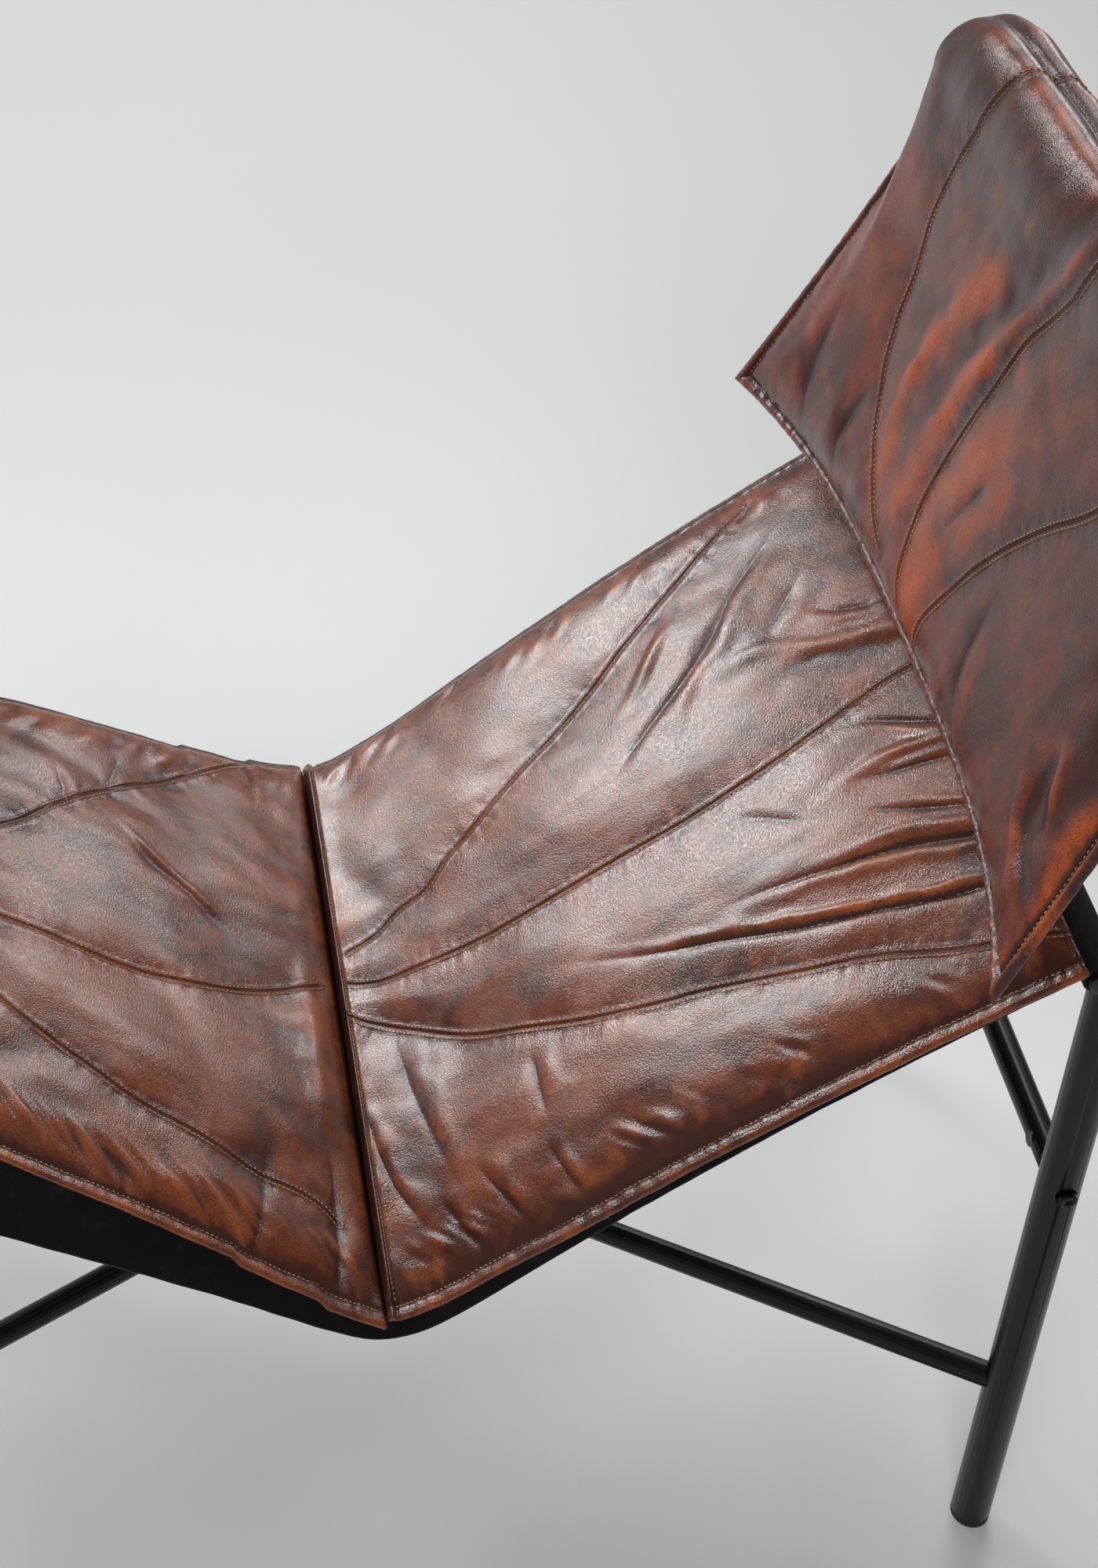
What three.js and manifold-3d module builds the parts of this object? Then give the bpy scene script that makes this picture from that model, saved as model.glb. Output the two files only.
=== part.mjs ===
// Leather sling lounge chair, in millimetres, +Z up and +X towards the head end.
// Four leaning tube legs, joined by a crossed brace near the floor and by round bars above, carry a
// canvas sling that hangs from a foot bar to a sling bar. A seat pad and a back pad of quilted
// leather lie on the sling, and a loose head cushion of the same leather hangs over the head bar.
// The origin is on the floor, in the middle of the four feet.
import * as THREE from 'three';
import { mergeVertices } from 'three/addons/utils/BufferGeometryUtils.js';
import Module from 'manifold-3d';

const wasm = await Module();
wasm.setup();

// Stance: where the legs' axes meet the floor, and how far they lean inwards per unit of height.
const FOOT_X = 470;
const FOOT_Y = 268;
const LEAN_X_SHARE = 0.065;
const LEAN_Y_SHARE = 0.042;

// Tubes of the frame, and the heights of their ends and axes.
const LEG_DIAMETER = 30;
const LEG_WALL = 2;
const BAR_DIAMETER = 20;
const BAR_WALL = 2;
const REAR_LEG_HEIGHT = 1010;
const FRONT_LEG_HEIGHT = 534;
const BRACE_HEIGHT = 179;
const REAR_RAIL_HEIGHT = 416;
const SLING_BAR_HEIGHT = 658;

// How far the head bar and the foot bar lie below the tops of the legs that carry them.
const HEAD_BAR_DROP = 10;
const FOOT_BAR_DROP = 19;

// Running and seating clearances.
const CLEARANCE = 0.3;
const OVERRUN = 5;

// Socket-head screws, the pressed recess that each one sits in, and what it threads into.
const SCREW_DIAMETER = 8;
const SCREW_TIP = 3;
const SCREW_CHAMFER = 1;
const HEAD_DIAMETER = 13;
const HEAD_HEIGHT = 8;
const HEAD_EDGE = 0.8;
const SOCKET_ACROSS_FLATS = 6;
const SOCKET_DEPTH = 4;
const RECESS_DIAMETER = 15;
const RECESS_DEPTH = 4;
const RECESS_WALL = 2;
const NUT_DIAMETER = 12;
const NUT_INSET = 22;
const INSERT_DIAMETER = 11;
const INSERT_LENGTH = 13;
const INSERT_SINK = 1.9;

// Plastic glides, caps and plugs that close the tubes.
const GLIDE_FLANGE = 6;
const GLIDE_STEM = 16;
const CAP_STEM = 9;
const CAP_DOME = 4;
const PLUG_DOME = 3;

// Canvas sling: half its width, its cloth, and the bar ends that stand out past its sleeves.
const SLING_HALF_WIDTH = 277;
const CANVAS = 2.4;
const BAR_OVERHANG = 4;

// Line of the sling, seen from the side: where its two straight runs would meet, how round the
// valley between them is, and how far each run bows up between the valley and its bar.
const VALLEY_X = -17;
const VALLEY_Z = 292;
const VALLEY_ROUND = 30;
const VALLEY_CROWDING_SHARE = 1.6;
const SEAT_BOW = 12;
const BACK_BOW = 17;

// Leather pads that lie on the sling.
const PAD_SPLIT_X = -25;
const SEAT_HALF_WIDTH_FOOT = 211;
const SEAT_HALF_WIDTH_VALLEY = 281;
const SEAT_RIM_FOOT = 15;
const SEAT_RIM_VALLEY = 23;
const SEAT_CROWN = 10;
const BACK_HALF_WIDTH = 283;
const BACK_RIM_VALLEY = 23;
const BACK_RIM_TOP = 9;
const BACK_CROWN = 10;
const BACK_END_GAP = 6;
const SEAM_DEPTH = 8;
const RIM_WIDTH = 34;
const RIM_BULGE = 3;
const FULL_LANE = 120;
const SEAT_WRAP_SHARE = 0.8;

// Head cushion: a padded flap of leather folded over the head bar.
const CUSHION_LIFT = 39;
const CUSHION_RISE = 62;
const CUSHION_HALF_BOTTOM = 320;
const CUSHION_HALF_TOP = 276;
const CUSHION_DROOP = 66;
const CUSHION_THICK_BOTTOM = 24;
const CUSHION_THICK_TOP = 15;
const CUSHION_RIM = 9;
const CUSHION_FLARE_MIDDLE = 36;
const CUSHION_FLARE_CORNER = 78;
const CUSHION_TUCK = 26;
const CUSHION_SLACK = 0.6;
const CUSHION_SLOT_SLACK = 1.5;
const CUSHION_ARCH = 12.5;
const CUSHION_LEAST_TOP = 9;
const CUSHION_SHOULDER = 14;
const FLAP_DROP = 138;
const FLAP_THICK = 13;
const FLAP_RIM = 8;

// Counts of faces.
const LEG_SIDES = 24;
const BAR_SIDES = 20;
const HOLE_SIDES = 12;
const DOME_STEPS = 3;
const LANE_STEPS = 6;
const SEAT_LINE_ROWS = 15;
const SEAT_WRAP_ROWS = 7;
const BACK_ROWS = 22;
const FRONT_ROWS = 11;
const ARCH_ROWS = 6;
const FLAP_ROWS = 5;

// Finishes.
const powderCoat = new THREE.MeshStandardMaterial({ color: 0x232321, roughness: 0.48, metalness: 0.3 });
const zincSteel = new THREE.MeshStandardMaterial({ color: 0x1d1d1c, roughness: 0.4, metalness: 0.8 });
const blackPlastic = new THREE.MeshStandardMaterial({ color: 0x161616, roughness: 0.6, metalness: 0 });
const blackCanvas = new THREE.MeshStandardMaterial({ color: 0x131313, roughness: 0.95, metalness: 0 });
const padLeather = new THREE.MeshStandardMaterial({ color: 0x5f3728, roughness: 0.38, metalness: 0 });
const headLeather = new THREE.MeshStandardMaterial({ color: 0x504141, roughness: 0.4, metalness: 0 });

const chair = new THREE.Group();

/** Adds a named sub-part to a group and returns its mesh. */
function addPart(name, geometry, material, parent = chair) {
  const mesh = new THREE.Mesh(geometry, material);
  mesh.name = name;
  parent.add(mesh);
  return mesh;
}

/** Turns a closed three.js geometry into a solid for joining and cutting. */
function solidOf(geometry) {
  const plain = geometry.clone();
  plain.deleteAttribute('normal');
  plain.deleteAttribute('uv');
  const merged = mergeVertices(plain);
  return new wasm.Manifold(new wasm.Mesh({
    numProp: 3,
    vertProperties: new Float32Array(merged.attributes.position.array),
    triVerts: new Uint32Array(merged.index.array),
  }));
}

/** Turns a solid back into a three.js geometry. */
function geometryOf(solid) {
  const mesh = solid.getMesh();
  const geometry = new THREE.BufferGeometry();
  geometry.setAttribute('position', new THREE.BufferAttribute(new Float32Array(mesh.vertProperties), 3));
  geometry.setIndex(new THREE.BufferAttribute(new Uint32Array(mesh.triVerts), 1));
  geometry.computeVertexNormals();
  return geometry;
}

/** A round solid between two points. */
function rod(from, to, radius, sides) {
  const along = new THREE.Vector3().subVectors(to, from);
  const geometry = new THREE.CylinderGeometry(radius, radius, along.length(), sides);
  const turn = new THREE.Quaternion().setFromUnitVectors(THREE.Object3D.DEFAULT_UP, along.normalize());
  geometry.applyQuaternion(turn);
  geometry.translate((from.x + to.x) / 2, (from.y + to.y) / 2, (from.z + to.z) / 2);
  return solidOf(geometry);
}

/** A point moved along a direction by a distance. */
function moved(point, direction, distance) {
  return point.clone().addScaledVector(direction, distance);
}

/** A tube between two points, open at both ends. */
function tube(from, to, diameter, wall, sides) {
  const along = new THREE.Vector3().subVectors(to, from).normalize();
  const bore = rod(moved(from, along, -OVERRUN), moved(to, along, OVERRUN), diameter / 2 - wall, sides);
  return rod(from, to, diameter / 2, sides).subtract(bore);
}

/** Smooth step from 0 at low to 1 at high. */
function smoothStep(low, high, value) {
  const share = Math.min(1, Math.max(0, (value - low) / (high - low)));
  return share * share * (3 - 2 * share);
}

// Legs. endX is 1 at the head end and -1 at the foot end, and sideY is 1 or -1.

/** The point of a leg's axis at a height. */
function legPoint(endX, sideY, height) {
  return new THREE.Vector3(
    endX * (FOOT_X - LEAN_X_SHARE * height),
    sideY * (FOOT_Y - LEAN_Y_SHARE * height),
    height,
  );
}

/** The upward direction of a leg's axis. */
function legDirection(endX, sideY) {
  return new THREE.Vector3(-endX * LEAN_X_SHARE, -sideY * LEAN_Y_SHARE, 1).normalize();
}

/** The whole round of a leg, as wide as asked, for coping what meets it. */
function legRound(endX, sideY, height, radius) {
  const low = moved(legPoint(endX, sideY, 0), legDirection(endX, sideY), -OVERRUN);
  return rod(low, moved(legPoint(endX, sideY, height), legDirection(endX, sideY), OVERRUN), radius, LEG_SIDES);
}

const headBarHeight = REAR_LEG_HEIGHT - HEAD_BAR_DROP;
const footBarHeight = FRONT_LEG_HEIGHT - FOOT_BAR_DROP;
const legRadius = LEG_DIAMETER / 2;
const barRadius = BAR_DIAMETER / 2;
const sleeveRadius = barRadius + CLEARANCE + CANVAS;
const holeRadius = SCREW_DIAMETER / 2 + CLEARANCE;
const alongX = new THREE.Vector3(1, 0, 0);
const alongY = new THREE.Vector3(0, 1, 0);

// A bar that the sling hangs from lies against the legs' inner faces, with its sleeve between.
const barToLeg = legRadius + sleeveRadius + CLEARANCE;

/** The middle of a sling bar's axis: endX is 1 for the bar at the back and -1 for the foot bar. */
function slingBarCentre(endX, height) {
  const slant = Math.hypot(1, LEAN_X_SHARE);
  return new THREE.Vector3(endX * (FOOT_X - LEAN_X_SHARE * height - barToLeg * slant), 0, height);
}

// Each leg's screws: their height and the outward direction of their heads.
const legKinds = [
  {
    endX: 1,
    kind: 'rear',
    height: REAR_LEG_HEIGHT,
    railHeights: { rear_rail: REAR_RAIL_HEIGHT },
    barHeights: { sling_bar: SLING_BAR_HEIGHT },
  },
  {
    endX: -1,
    kind: 'front',
    height: FRONT_LEG_HEIGHT,
    railHeights: {},
    barHeights: { foot_bar: footBarHeight },
  },
];
const sides = [{ sideY: 1, side: 'right' }, { sideY: -1, side: 'left' }];

/** Presses a recess into a leg for a screw head and drills the leg through for the screw. */
function pressAndDrill(leg, whole, centre, outward) {
  const face = moved(centre, outward, legRadius);
  const outside = moved(face, outward, OVERRUN);
  const floor = moved(face, outward, -RECESS_DEPTH);
  const back = moved(floor, outward, -RECESS_WALL);
  const cup = rod(back, outside, RECESS_DIAMETER / 2 + RECESS_WALL, HOLE_SIDES).intersect(whole);
  const recess = rod(floor, outside, RECESS_DIAMETER / 2, HOLE_SIDES);
  const hole = rod(moved(centre, outward, -legRadius - OVERRUN), outside, holeRadius, HOLE_SIDES);
  return leg.add(cup).subtract(recess).subtract(hole);
}

/** A socket-head screw with its head's seat at the origin and its head towards +Y. */
function screwGeometry(shankLength) {
  const radius = SCREW_DIAMETER / 2;
  const headRadius = HEAD_DIAMETER / 2;
  const profile = [
    new THREE.Vector2(0, -shankLength),
    new THREE.Vector2(radius - SCREW_CHAMFER, -shankLength),
    new THREE.Vector2(radius, -shankLength + SCREW_CHAMFER),
    new THREE.Vector2(radius, 0),
    new THREE.Vector2(headRadius, 0),
    new THREE.Vector2(headRadius, HEAD_HEIGHT - HEAD_EDGE),
    new THREE.Vector2(headRadius - HEAD_EDGE, HEAD_HEIGHT),
    new THREE.Vector2(0, HEAD_HEIGHT),
  ];
  const socketRadius = SOCKET_ACROSS_FLATS / 2 / Math.cos(Math.PI / 6);
  const socket = new THREE.CylinderGeometry(socketRadius, socketRadius, SOCKET_DEPTH + OVERRUN, 6);
  socket.translate(0, HEAD_HEIGHT - SOCKET_DEPTH + (SOCKET_DEPTH + OVERRUN) / 2, 0);
  const body = solidOf(new THREE.LatheGeometry(profile, HOLE_SIDES));
  return geometryOf(body.subtract(solidOf(socket)));
}

/** A plastic cap: a stem inside a tube, a collar as wide as the tube and a low dome, up along +Y. */
function capGeometry(tubeDiameter, tubeWall, dome, faces) {
  const collar = tubeDiameter / 2;
  const stem = collar - tubeWall - CLEARANCE;
  const profile = [
    new THREE.Vector2(0, -CAP_STEM),
    new THREE.Vector2(stem, -CAP_STEM),
    new THREE.Vector2(stem, CLEARANCE),
    new THREE.Vector2(collar, CLEARANCE),
  ];
  for (let step = 1; step < DOME_STEPS; step += 1) {
    const turn = (step / DOME_STEPS) * (Math.PI / 2);
    profile.push(new THREE.Vector2(collar * Math.cos(turn), CLEARANCE + (dome - CLEARANCE) * Math.sin(turn)));
  }
  profile.push(new THREE.Vector2(0, dome));
  return new THREE.LatheGeometry(profile, faces);
}

/** A foot glide: its stem fills the leg and its sole is cut flat on the floor. */
function glideGeometry(endX, sideY) {
  const direction = legDirection(endX, sideY);
  const top = legPoint(endX, sideY, GLIDE_FLANGE);
  const bottom = moved(legPoint(endX, sideY, 0), direction, -OVERRUN);
  const stemRadius = legRadius - LEG_WALL - CLEARANCE;
  const body = rod(bottom, top, legRadius, LEG_SIDES)
    .add(rod(bottom, moved(top, direction, GLIDE_STEM), stemRadius, LEG_SIDES));
  const below = new THREE.BoxGeometry(LEG_DIAMETER * 2, LEG_DIAMETER * 2, OVERRUN * 2);
  below.translate(endX * FOOT_X, sideY * FOOT_Y, -OVERRUN);
  return geometryOf(body.subtract(solidOf(below)));
}

/** Sets a mesh so that its own +Y runs along a direction from a point. */
function setAlong(mesh, point, direction) {
  mesh.position.copy(point);
  mesh.quaternion.setFromUnitVectors(THREE.Object3D.DEFAULT_UP, direction);
}

const railScrew = screwGeometry(LEG_DIAMETER - RECESS_DEPTH + NUT_INSET + NUT_DIAMETER / 2 + SCREW_TIP);
const barScrew = screwGeometry(
  LEG_DIAMETER - RECESS_DEPTH + CLEARANCE + CANVAS + CLEARANCE + INSERT_SINK + INSERT_LENGTH,
);
const legCap = capGeometry(LEG_DIAMETER, LEG_WALL, CAP_DOME, LEG_SIDES);

/** The cross dowel that a rail's screw threads into, lying along +Y of its mesh, bored along +Z. */
function barrelNutGeometry() {
  const length = BAR_DIAMETER - 2 * CLEARANCE;
  const round = solidOf(new THREE.CylinderGeometry(NUT_DIAMETER / 2, NUT_DIAMETER / 2, length, BAR_SIDES));
  const reach = new THREE.Vector3(0, 0, NUT_DIAMETER);
  return geometryOf(round.subtract(rod(reach.clone().negate(), reach, holeRadius, HOLE_SIDES)));
}

const barrelNut = barrelNutGeometry();

/** The threaded insert of a sling bar, its mouth at the origin and its body along -Y. */
function insertGeometry() {
  const outer = INSERT_DIAMETER / 2;
  const profile = [
    new THREE.Vector2(holeRadius, 0),
    new THREE.Vector2(holeRadius, -INSERT_LENGTH),
    new THREE.Vector2(outer, -INSERT_LENGTH),
    new THREE.Vector2(outer, 0),
    new THREE.Vector2(holeRadius, 0),
  ];
  return new THREE.LatheGeometry(profile, HOLE_SIDES);
}

const insert = insertGeometry();

for (const { endX, kind, height, railHeights, barHeights } of legKinds) {
  for (const { sideY, side } of sides) {
    const direction = legDirection(endX, sideY);
    const low = legPoint(endX, sideY, GLIDE_FLANGE + CLEARANCE);
    const whole = rod(low, legPoint(endX, sideY, height), legRadius, LEG_SIDES);
    let leg = tube(low, legPoint(endX, sideY, height), LEG_DIAMETER, LEG_WALL, LEG_SIDES);
    for (const [rail, level] of Object.entries(railHeights)) {
      const centre = legPoint(endX, sideY, level);
      const outward = alongY.clone().multiplyScalar(sideY);
      leg = pressAndDrill(leg, whole, centre, outward);
      const seat = moved(centre, outward, legRadius - RECESS_DEPTH + CLEARANCE);
      setAlong(addPart(`${rail}_screw_${side}`, railScrew, zincSteel), seat, outward);
      const nut = addPart(`${rail}_barrel_nut_${side}`, barrelNut, zincSteel);
      nut.position.copy(moved(centre, outward, -legRadius - NUT_INSET));
      nut.rotation.set(Math.PI / 2, 0, Math.PI / 2);
    }
    for (const [bar, level] of Object.entries(barHeights)) {
      const centre = legPoint(endX, sideY, level);
      const outward = alongX.clone().multiplyScalar(endX);
      leg = pressAndDrill(leg, whole, centre, outward);
      const seat = moved(centre, outward, legRadius - RECESS_DEPTH + CLEARANCE);
      setAlong(addPart(`${bar}_screw_${side}`, barScrew, zincSteel), seat, outward);
      const mouth = slingBarCentre(endX, level).setY(centre.y).addScaledVector(outward, barRadius - INSERT_SINK);
      setAlong(addPart(`${bar}_insert_${side}`, insert, zincSteel), mouth, outward);
    }
    addPart(`${kind}_leg_${side}`, geometryOf(leg), powderCoat);
    setAlong(addPart(`${kind}_leg_cap_${side}`, legCap, blackPlastic), legPoint(endX, sideY, height), direction);
    addPart(`${kind}_glide_${side}`, glideGeometry(endX, sideY), blackPlastic);
  }
}

// Rails between the rear legs, coped to them. The rear rail is cross-drilled for its barrel nuts,
// and the head bar is welded.

/** A rail from rear leg to rear leg at a height, as a solid. */
function railSolid(height) {
  const ends = sides.map(({ sideY }) => legPoint(1, sideY, height));
  let rail = tube(ends[0], ends[1], BAR_DIAMETER, BAR_WALL, BAR_SIDES);
  for (const { sideY } of sides) {
    rail = rail.subtract(legRound(1, sideY, REAR_LEG_HEIGHT, legRadius + CLEARANCE));
  }
  return rail;
}

let rearRail = railSolid(REAR_RAIL_HEIGHT);
for (const { sideY } of sides) {
  const nut = moved(legPoint(1, sideY, REAR_RAIL_HEIGHT), alongY, -sideY * (legRadius + NUT_INSET));
  const front = moved(nut, alongX, -BAR_DIAMETER);
  const rear = moved(nut, alongX, BAR_DIAMETER);
  rearRail = rearRail.subtract(rod(front, rear, NUT_DIAMETER / 2 + CLEARANCE, BAR_SIDES));
}
addPart('rear_rail', geometryOf(rearRail), powderCoat);
addPart('head_bar', geometryOf(railSolid(headBarHeight)), powderCoat);

// Crossed brace: one tube runs through, and two half tubes are coped to it and to the legs.

/** A brace tube between two of the legs' axes or the crossing, coped to the legs and to a round. */
function braceGeometry(from, to, cuts) {
  let brace = tube(from, to, BAR_DIAMETER, BAR_WALL, BAR_SIDES);
  for (const cut of cuts) {
    brace = brace.subtract(cut);
  }
  return geometryOf(brace);
}

const braceRound = (endX, sideY) => legRound(endX, sideY, FRONT_LEG_HEIGHT, legRadius + CLEARANCE);
const throughFrom = legPoint(1, -1, BRACE_HEIGHT);
const throughTo = legPoint(-1, 1, BRACE_HEIGHT);
const crossing = new THREE.Vector3(0, 0, BRACE_HEIGHT);
addPart('brace_through', braceGeometry(throughFrom, throughTo, [braceRound(1, -1), braceRound(-1, 1)]), powderCoat);
const throughRound = rod(throughFrom, throughTo, barRadius + CLEARANCE, BAR_SIDES);
for (const { endX, sideY, name } of [
  { endX: 1, sideY: 1, name: 'brace_half_rear' },
  { endX: -1, sideY: -1, name: 'brace_half_front' },
]) {
  const cuts = [braceRound(endX, sideY), throughRound];
  addPart(name, braceGeometry(legPoint(endX, sideY, BRACE_HEIGHT), crossing, cuts), powderCoat);
}

// Bars that the sling hangs from, with plugged ends and holes for the threaded inserts.
const barHalfLength = SLING_HALF_WIDTH + BAR_OVERHANG;
const barPlug = capGeometry(BAR_DIAMETER, BAR_WALL, PLUG_DOME, BAR_SIDES);
const slingBars = [
  { name: 'sling_bar', endX: 1, height: SLING_BAR_HEIGHT },
  { name: 'foot_bar', endX: -1, height: footBarHeight },
];
for (const { name, endX, height } of slingBars) {
  const centre = slingBarCentre(endX, height);
  const ends = [moved(centre, alongY, -barHalfLength), moved(centre, alongY, barHalfLength)];
  let bar = tube(ends[0], ends[1], BAR_DIAMETER, BAR_WALL, BAR_SIDES);
  for (const { sideY, side } of sides) {
    const level = centre.clone().setY(legPoint(endX, sideY, height).y);
    const hole = rod(
      level,
      moved(level, alongX, endX * (barRadius + OVERRUN)),
      INSERT_DIAMETER / 2 + CLEARANCE,
      HOLE_SIDES,
    );
    bar = bar.subtract(hole);
    const end = moved(centre, alongY, sideY * barHalfLength);
    setAlong(addPart(`${name}_plug_${side}`, barPlug, blackPlastic), end, alongY.clone().multiplyScalar(sideY));
  }
  addPart(name, geometryOf(bar), powderCoat);
}

// Line of the sling's upper face, seen from the side, as points (x, z).
const footBar = slingBarCentre(-1, footBarHeight);
const slingBar = slingBarCentre(1, SLING_BAR_HEIGHT);

/** One run of the sling from the valley to where it lies on its bar's sleeve. */
function slingRun(bar, bow) {
  const towards = Math.sign(bar.x - VALLEY_X);
  const span = Math.abs(bar.x - VALLEY_X);
  const slope = (bar.z - VALLEY_Z) / span - (4 * bow) / span;
  const lean = Math.atan(slope);
  const end = new THREE.Vector2(
    bar.x - towards * sleeveRadius * Math.sin(lean),
    bar.z + sleeveRadius * Math.cos(lean),
  );
  return { towards, lean, end, bow, span: Math.abs(end.x - VALLEY_X) };
}

const seatRun = slingRun(footBar, SEAT_BOW);
const backRun = slingRun(slingBar, BACK_BOW);

/** The height of one run, straight but for its bow, at x. */
function runHeight(run, x) {
  const share = ((x - VALLEY_X) * run.towards) / run.span;
  return VALLEY_Z + share * (run.end.y - VALLEY_Z) + 4 * run.bow * share * (1 - share);
}

/** The height of the sling at x: the higher of its two runs, rounded where they meet. */
function slingHeight(x) {
  const seat = runHeight(seatRun, x);
  const back = runHeight(backRun, x);
  const fade = smoothStep(1, 0, Math.abs(seat - back) / (VALLEY_ROUND * 12));
  return (seat + back) / 2 + Math.hypot((seat - back) / 2, VALLEY_ROUND * fade);
}

/** A place on the sling's upper face: its point (x, z), and the normal that points up off it. */
function slingPlace(x) {
  const step = CLEARANCE;
  const rise = slingHeight(x + step) - slingHeight(x - step);
  const normal = new THREE.Vector2(-rise, 2 * step).normalize();
  return { point: new THREE.Vector2(x, slingHeight(x)), normal };
}

/** The places along one run, closer together near the valley, from its bar to the pads' split. */
function runPlaces(run, rows) {
  const places = [];
  for (let row = 0; row <= rows; row += 1) {
    const along = Math.pow(1 - row / rows, VALLEY_CROWDING_SHARE);
    places.push({ ...slingPlace(THREE.MathUtils.lerp(PAD_SPLIT_X, run.end.x, along)), along });
  }
  return places;
}

const seatPlaces = runPlaces(seatRun, SEAT_LINE_ROWS);
const backPlaces = runPlaces(backRun, BACK_ROWS).reverse();

// Canvas sling: a sheet along that line with a sewn sleeve round each bar.

/** A side outline in x and z, carried across the chair to both sides of its middle. */
function carriedAcross(outline, halfWidth) {
  const geometry = new THREE.ExtrudeGeometry(new THREE.Shape(outline), {
    depth: 2 * halfWidth,
    bevelEnabled: false,
    steps: 1,
  });
  geometry.rotateX(Math.PI / 2);
  geometry.translate(0, halfWidth, 0);
  return solidOf(geometry);
}

function canvasGeometry() {
  const upper = [];
  const lower = [];
  for (const { point, normal } of [...seatPlaces, ...backPlaces.slice(1)]) {
    upper.push(point);
    lower.unshift(point.clone().addScaledVector(normal, -CANVAS));
  }
  let canvas = carriedAcross([...lower, ...upper], SLING_HALF_WIDTH);
  for (const { endX, height } of slingBars) {
    const centre = slingBarCentre(endX, height);
    const ends = [moved(centre, alongY, -SLING_HALF_WIDTH), moved(centre, alongY, SLING_HALF_WIDTH)];
    canvas = canvas.add(rod(ends[0], ends[1], sleeveRadius, BAR_SIDES));
  }
  for (const { endX, height } of slingBars) {
    const centre = slingBarCentre(endX, height);
    const reach = SLING_HALF_WIDTH + OVERRUN;
    const bore = rod(moved(centre, alongY, -reach), moved(centre, alongY, reach), barRadius + CLEARANCE, BAR_SIDES);
    canvas = canvas.subtract(bore);
    for (const { sideY } of sides) {
      const level = centre.clone().setY(legPoint(endX, sideY, height).y);
      const outside = moved(level, alongX, endX * (sleeveRadius + OVERRUN));
      canvas = canvas.subtract(rod(level, outside, holeRadius, HOLE_SIDES));
    }
  }
  return geometryOf(canvas);
}

addPart('sling_canvas', canvasGeometry(), blackCanvas);

// Quilted leather. A pad is an upper and a lower sheet of points joined by a rounded rim. Its
// columns follow the sewn seams, so each lane between two seams swells by itself.

/** The closed solid between two sheets of points, where row crosses column gives up and out. */
function sheetSolid(rows, columns, upper, lower, rim) {
  const positions = [];
  const perSheet = (rows + 1) * (columns + 1);
  const at = (sheet, row, column) => sheet * perSheet + row * (columns + 1) + column;
  for (const sheet of [upper, lower]) {
    for (let row = 0; row <= rows; row += 1) {
      for (let column = 0; column <= columns; column += 1) {
        positions.push(...sheet(row, column).toArray());
      }
    }
  }
  const loop = [];
  for (let row = 0; row < rows; row += 1) loop.push([row, 0]);
  for (let column = 0; column < columns; column += 1) loop.push([rows, column]);
  for (let row = rows; row > 0; row -= 1) loop.push([row, columns]);
  for (let column = columns; column > 0; column -= 1) loop.push([0, column]);
  for (const [row, column] of loop) {
    positions.push(...rim(row, column).toArray());
  }
  const faces = [];
  for (let row = 0; row < rows; row += 1) {
    for (let column = 0; column < columns; column += 1) {
      const corners = [[row, column], [row + 1, column], [row + 1, column + 1], [row, column + 1]];
      const [a, b, c, d] = corners.map(([r, k]) => at(0, r, k));
      const [e, f, g, h] = corners.map(([r, k]) => at(1, r, k));
      faces.push(a, b, c, a, c, d);
      faces.push(e, g, f, e, h, g);
    }
  }
  loop.forEach(([row, column], place) => {
    const next = (place + 1) % loop.length;
    const [nextRow, nextColumn] = loop[next];
    const middle = 2 * perSheet + place;
    const nextMiddle = 2 * perSheet + next;
    const top = at(0, row, column);
    const nextTop = at(0, nextRow, nextColumn);
    const bottom = at(1, row, column);
    const nextBottom = at(1, nextRow, nextColumn);
    faces.push(top, middle, nextMiddle, top, nextMiddle, nextTop);
    faces.push(middle, bottom, nextBottom, middle, nextBottom, nextMiddle);
  });
  const geometry = new THREE.BufferGeometry();
  geometry.setAttribute('position', new THREE.Float32BufferAttribute(positions, 3));
  geometry.setIndex(faces);
  geometry.computeVertexNormals();
  return geometry;
}

/** A seam from one place across the pad to another, with a bow between them, all as shares. */
function seamPlace([startShare, endShare, bowShare], along) {
  return startShare + (endShare - startShare) * along + 4 * bowShare * along * (1 - along);
}

/** The columns across a quilted sheet: each one's place and how full its lane is there. */
function laneColumns(seamShares, along, halfWidth) {
  const narrowest = RIM_WIDTH / 4;
  const edges = [-halfWidth, ...seamShares.map((seam) => seamPlace(seam, along) * halfWidth), halfWidth];
  for (let lane = 1; lane < edges.length - 1; lane += 1) {
    edges[lane] = Math.max(edges[lane], edges[lane - 1] + narrowest);
  }
  for (let lane = edges.length - 2; lane > 0; lane -= 1) {
    edges[lane] = Math.min(edges[lane], edges[lane + 1] - narrowest);
  }
  const columns = [];
  for (let lane = 0; lane < edges.length - 1; lane += 1) {
    const width = edges[lane + 1] - edges[lane];
    for (let step = lane === 0 ? 0 : 1; step <= LANE_STEPS; step += 1) {
      const share = (1 - Math.cos((Math.PI * step) / LANE_STEPS)) / 2;
      const swell = Math.pow(4 * share * (1 - share), 0.6) * Math.min(1, width / FULL_LANE);
      columns.push({ across: edges[lane] + share * width, swell });
    }
  }
  return columns;
}

/** How far the padding has risen from its rim, from 0 at the edge to 1 a rim's width inside. */
function rimRise(distance) {
  const share = Math.min(1, Math.max(0, distance / RIM_WIDTH));
  return Math.sqrt(1 - (1 - share) * (1 - share));
}

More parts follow.
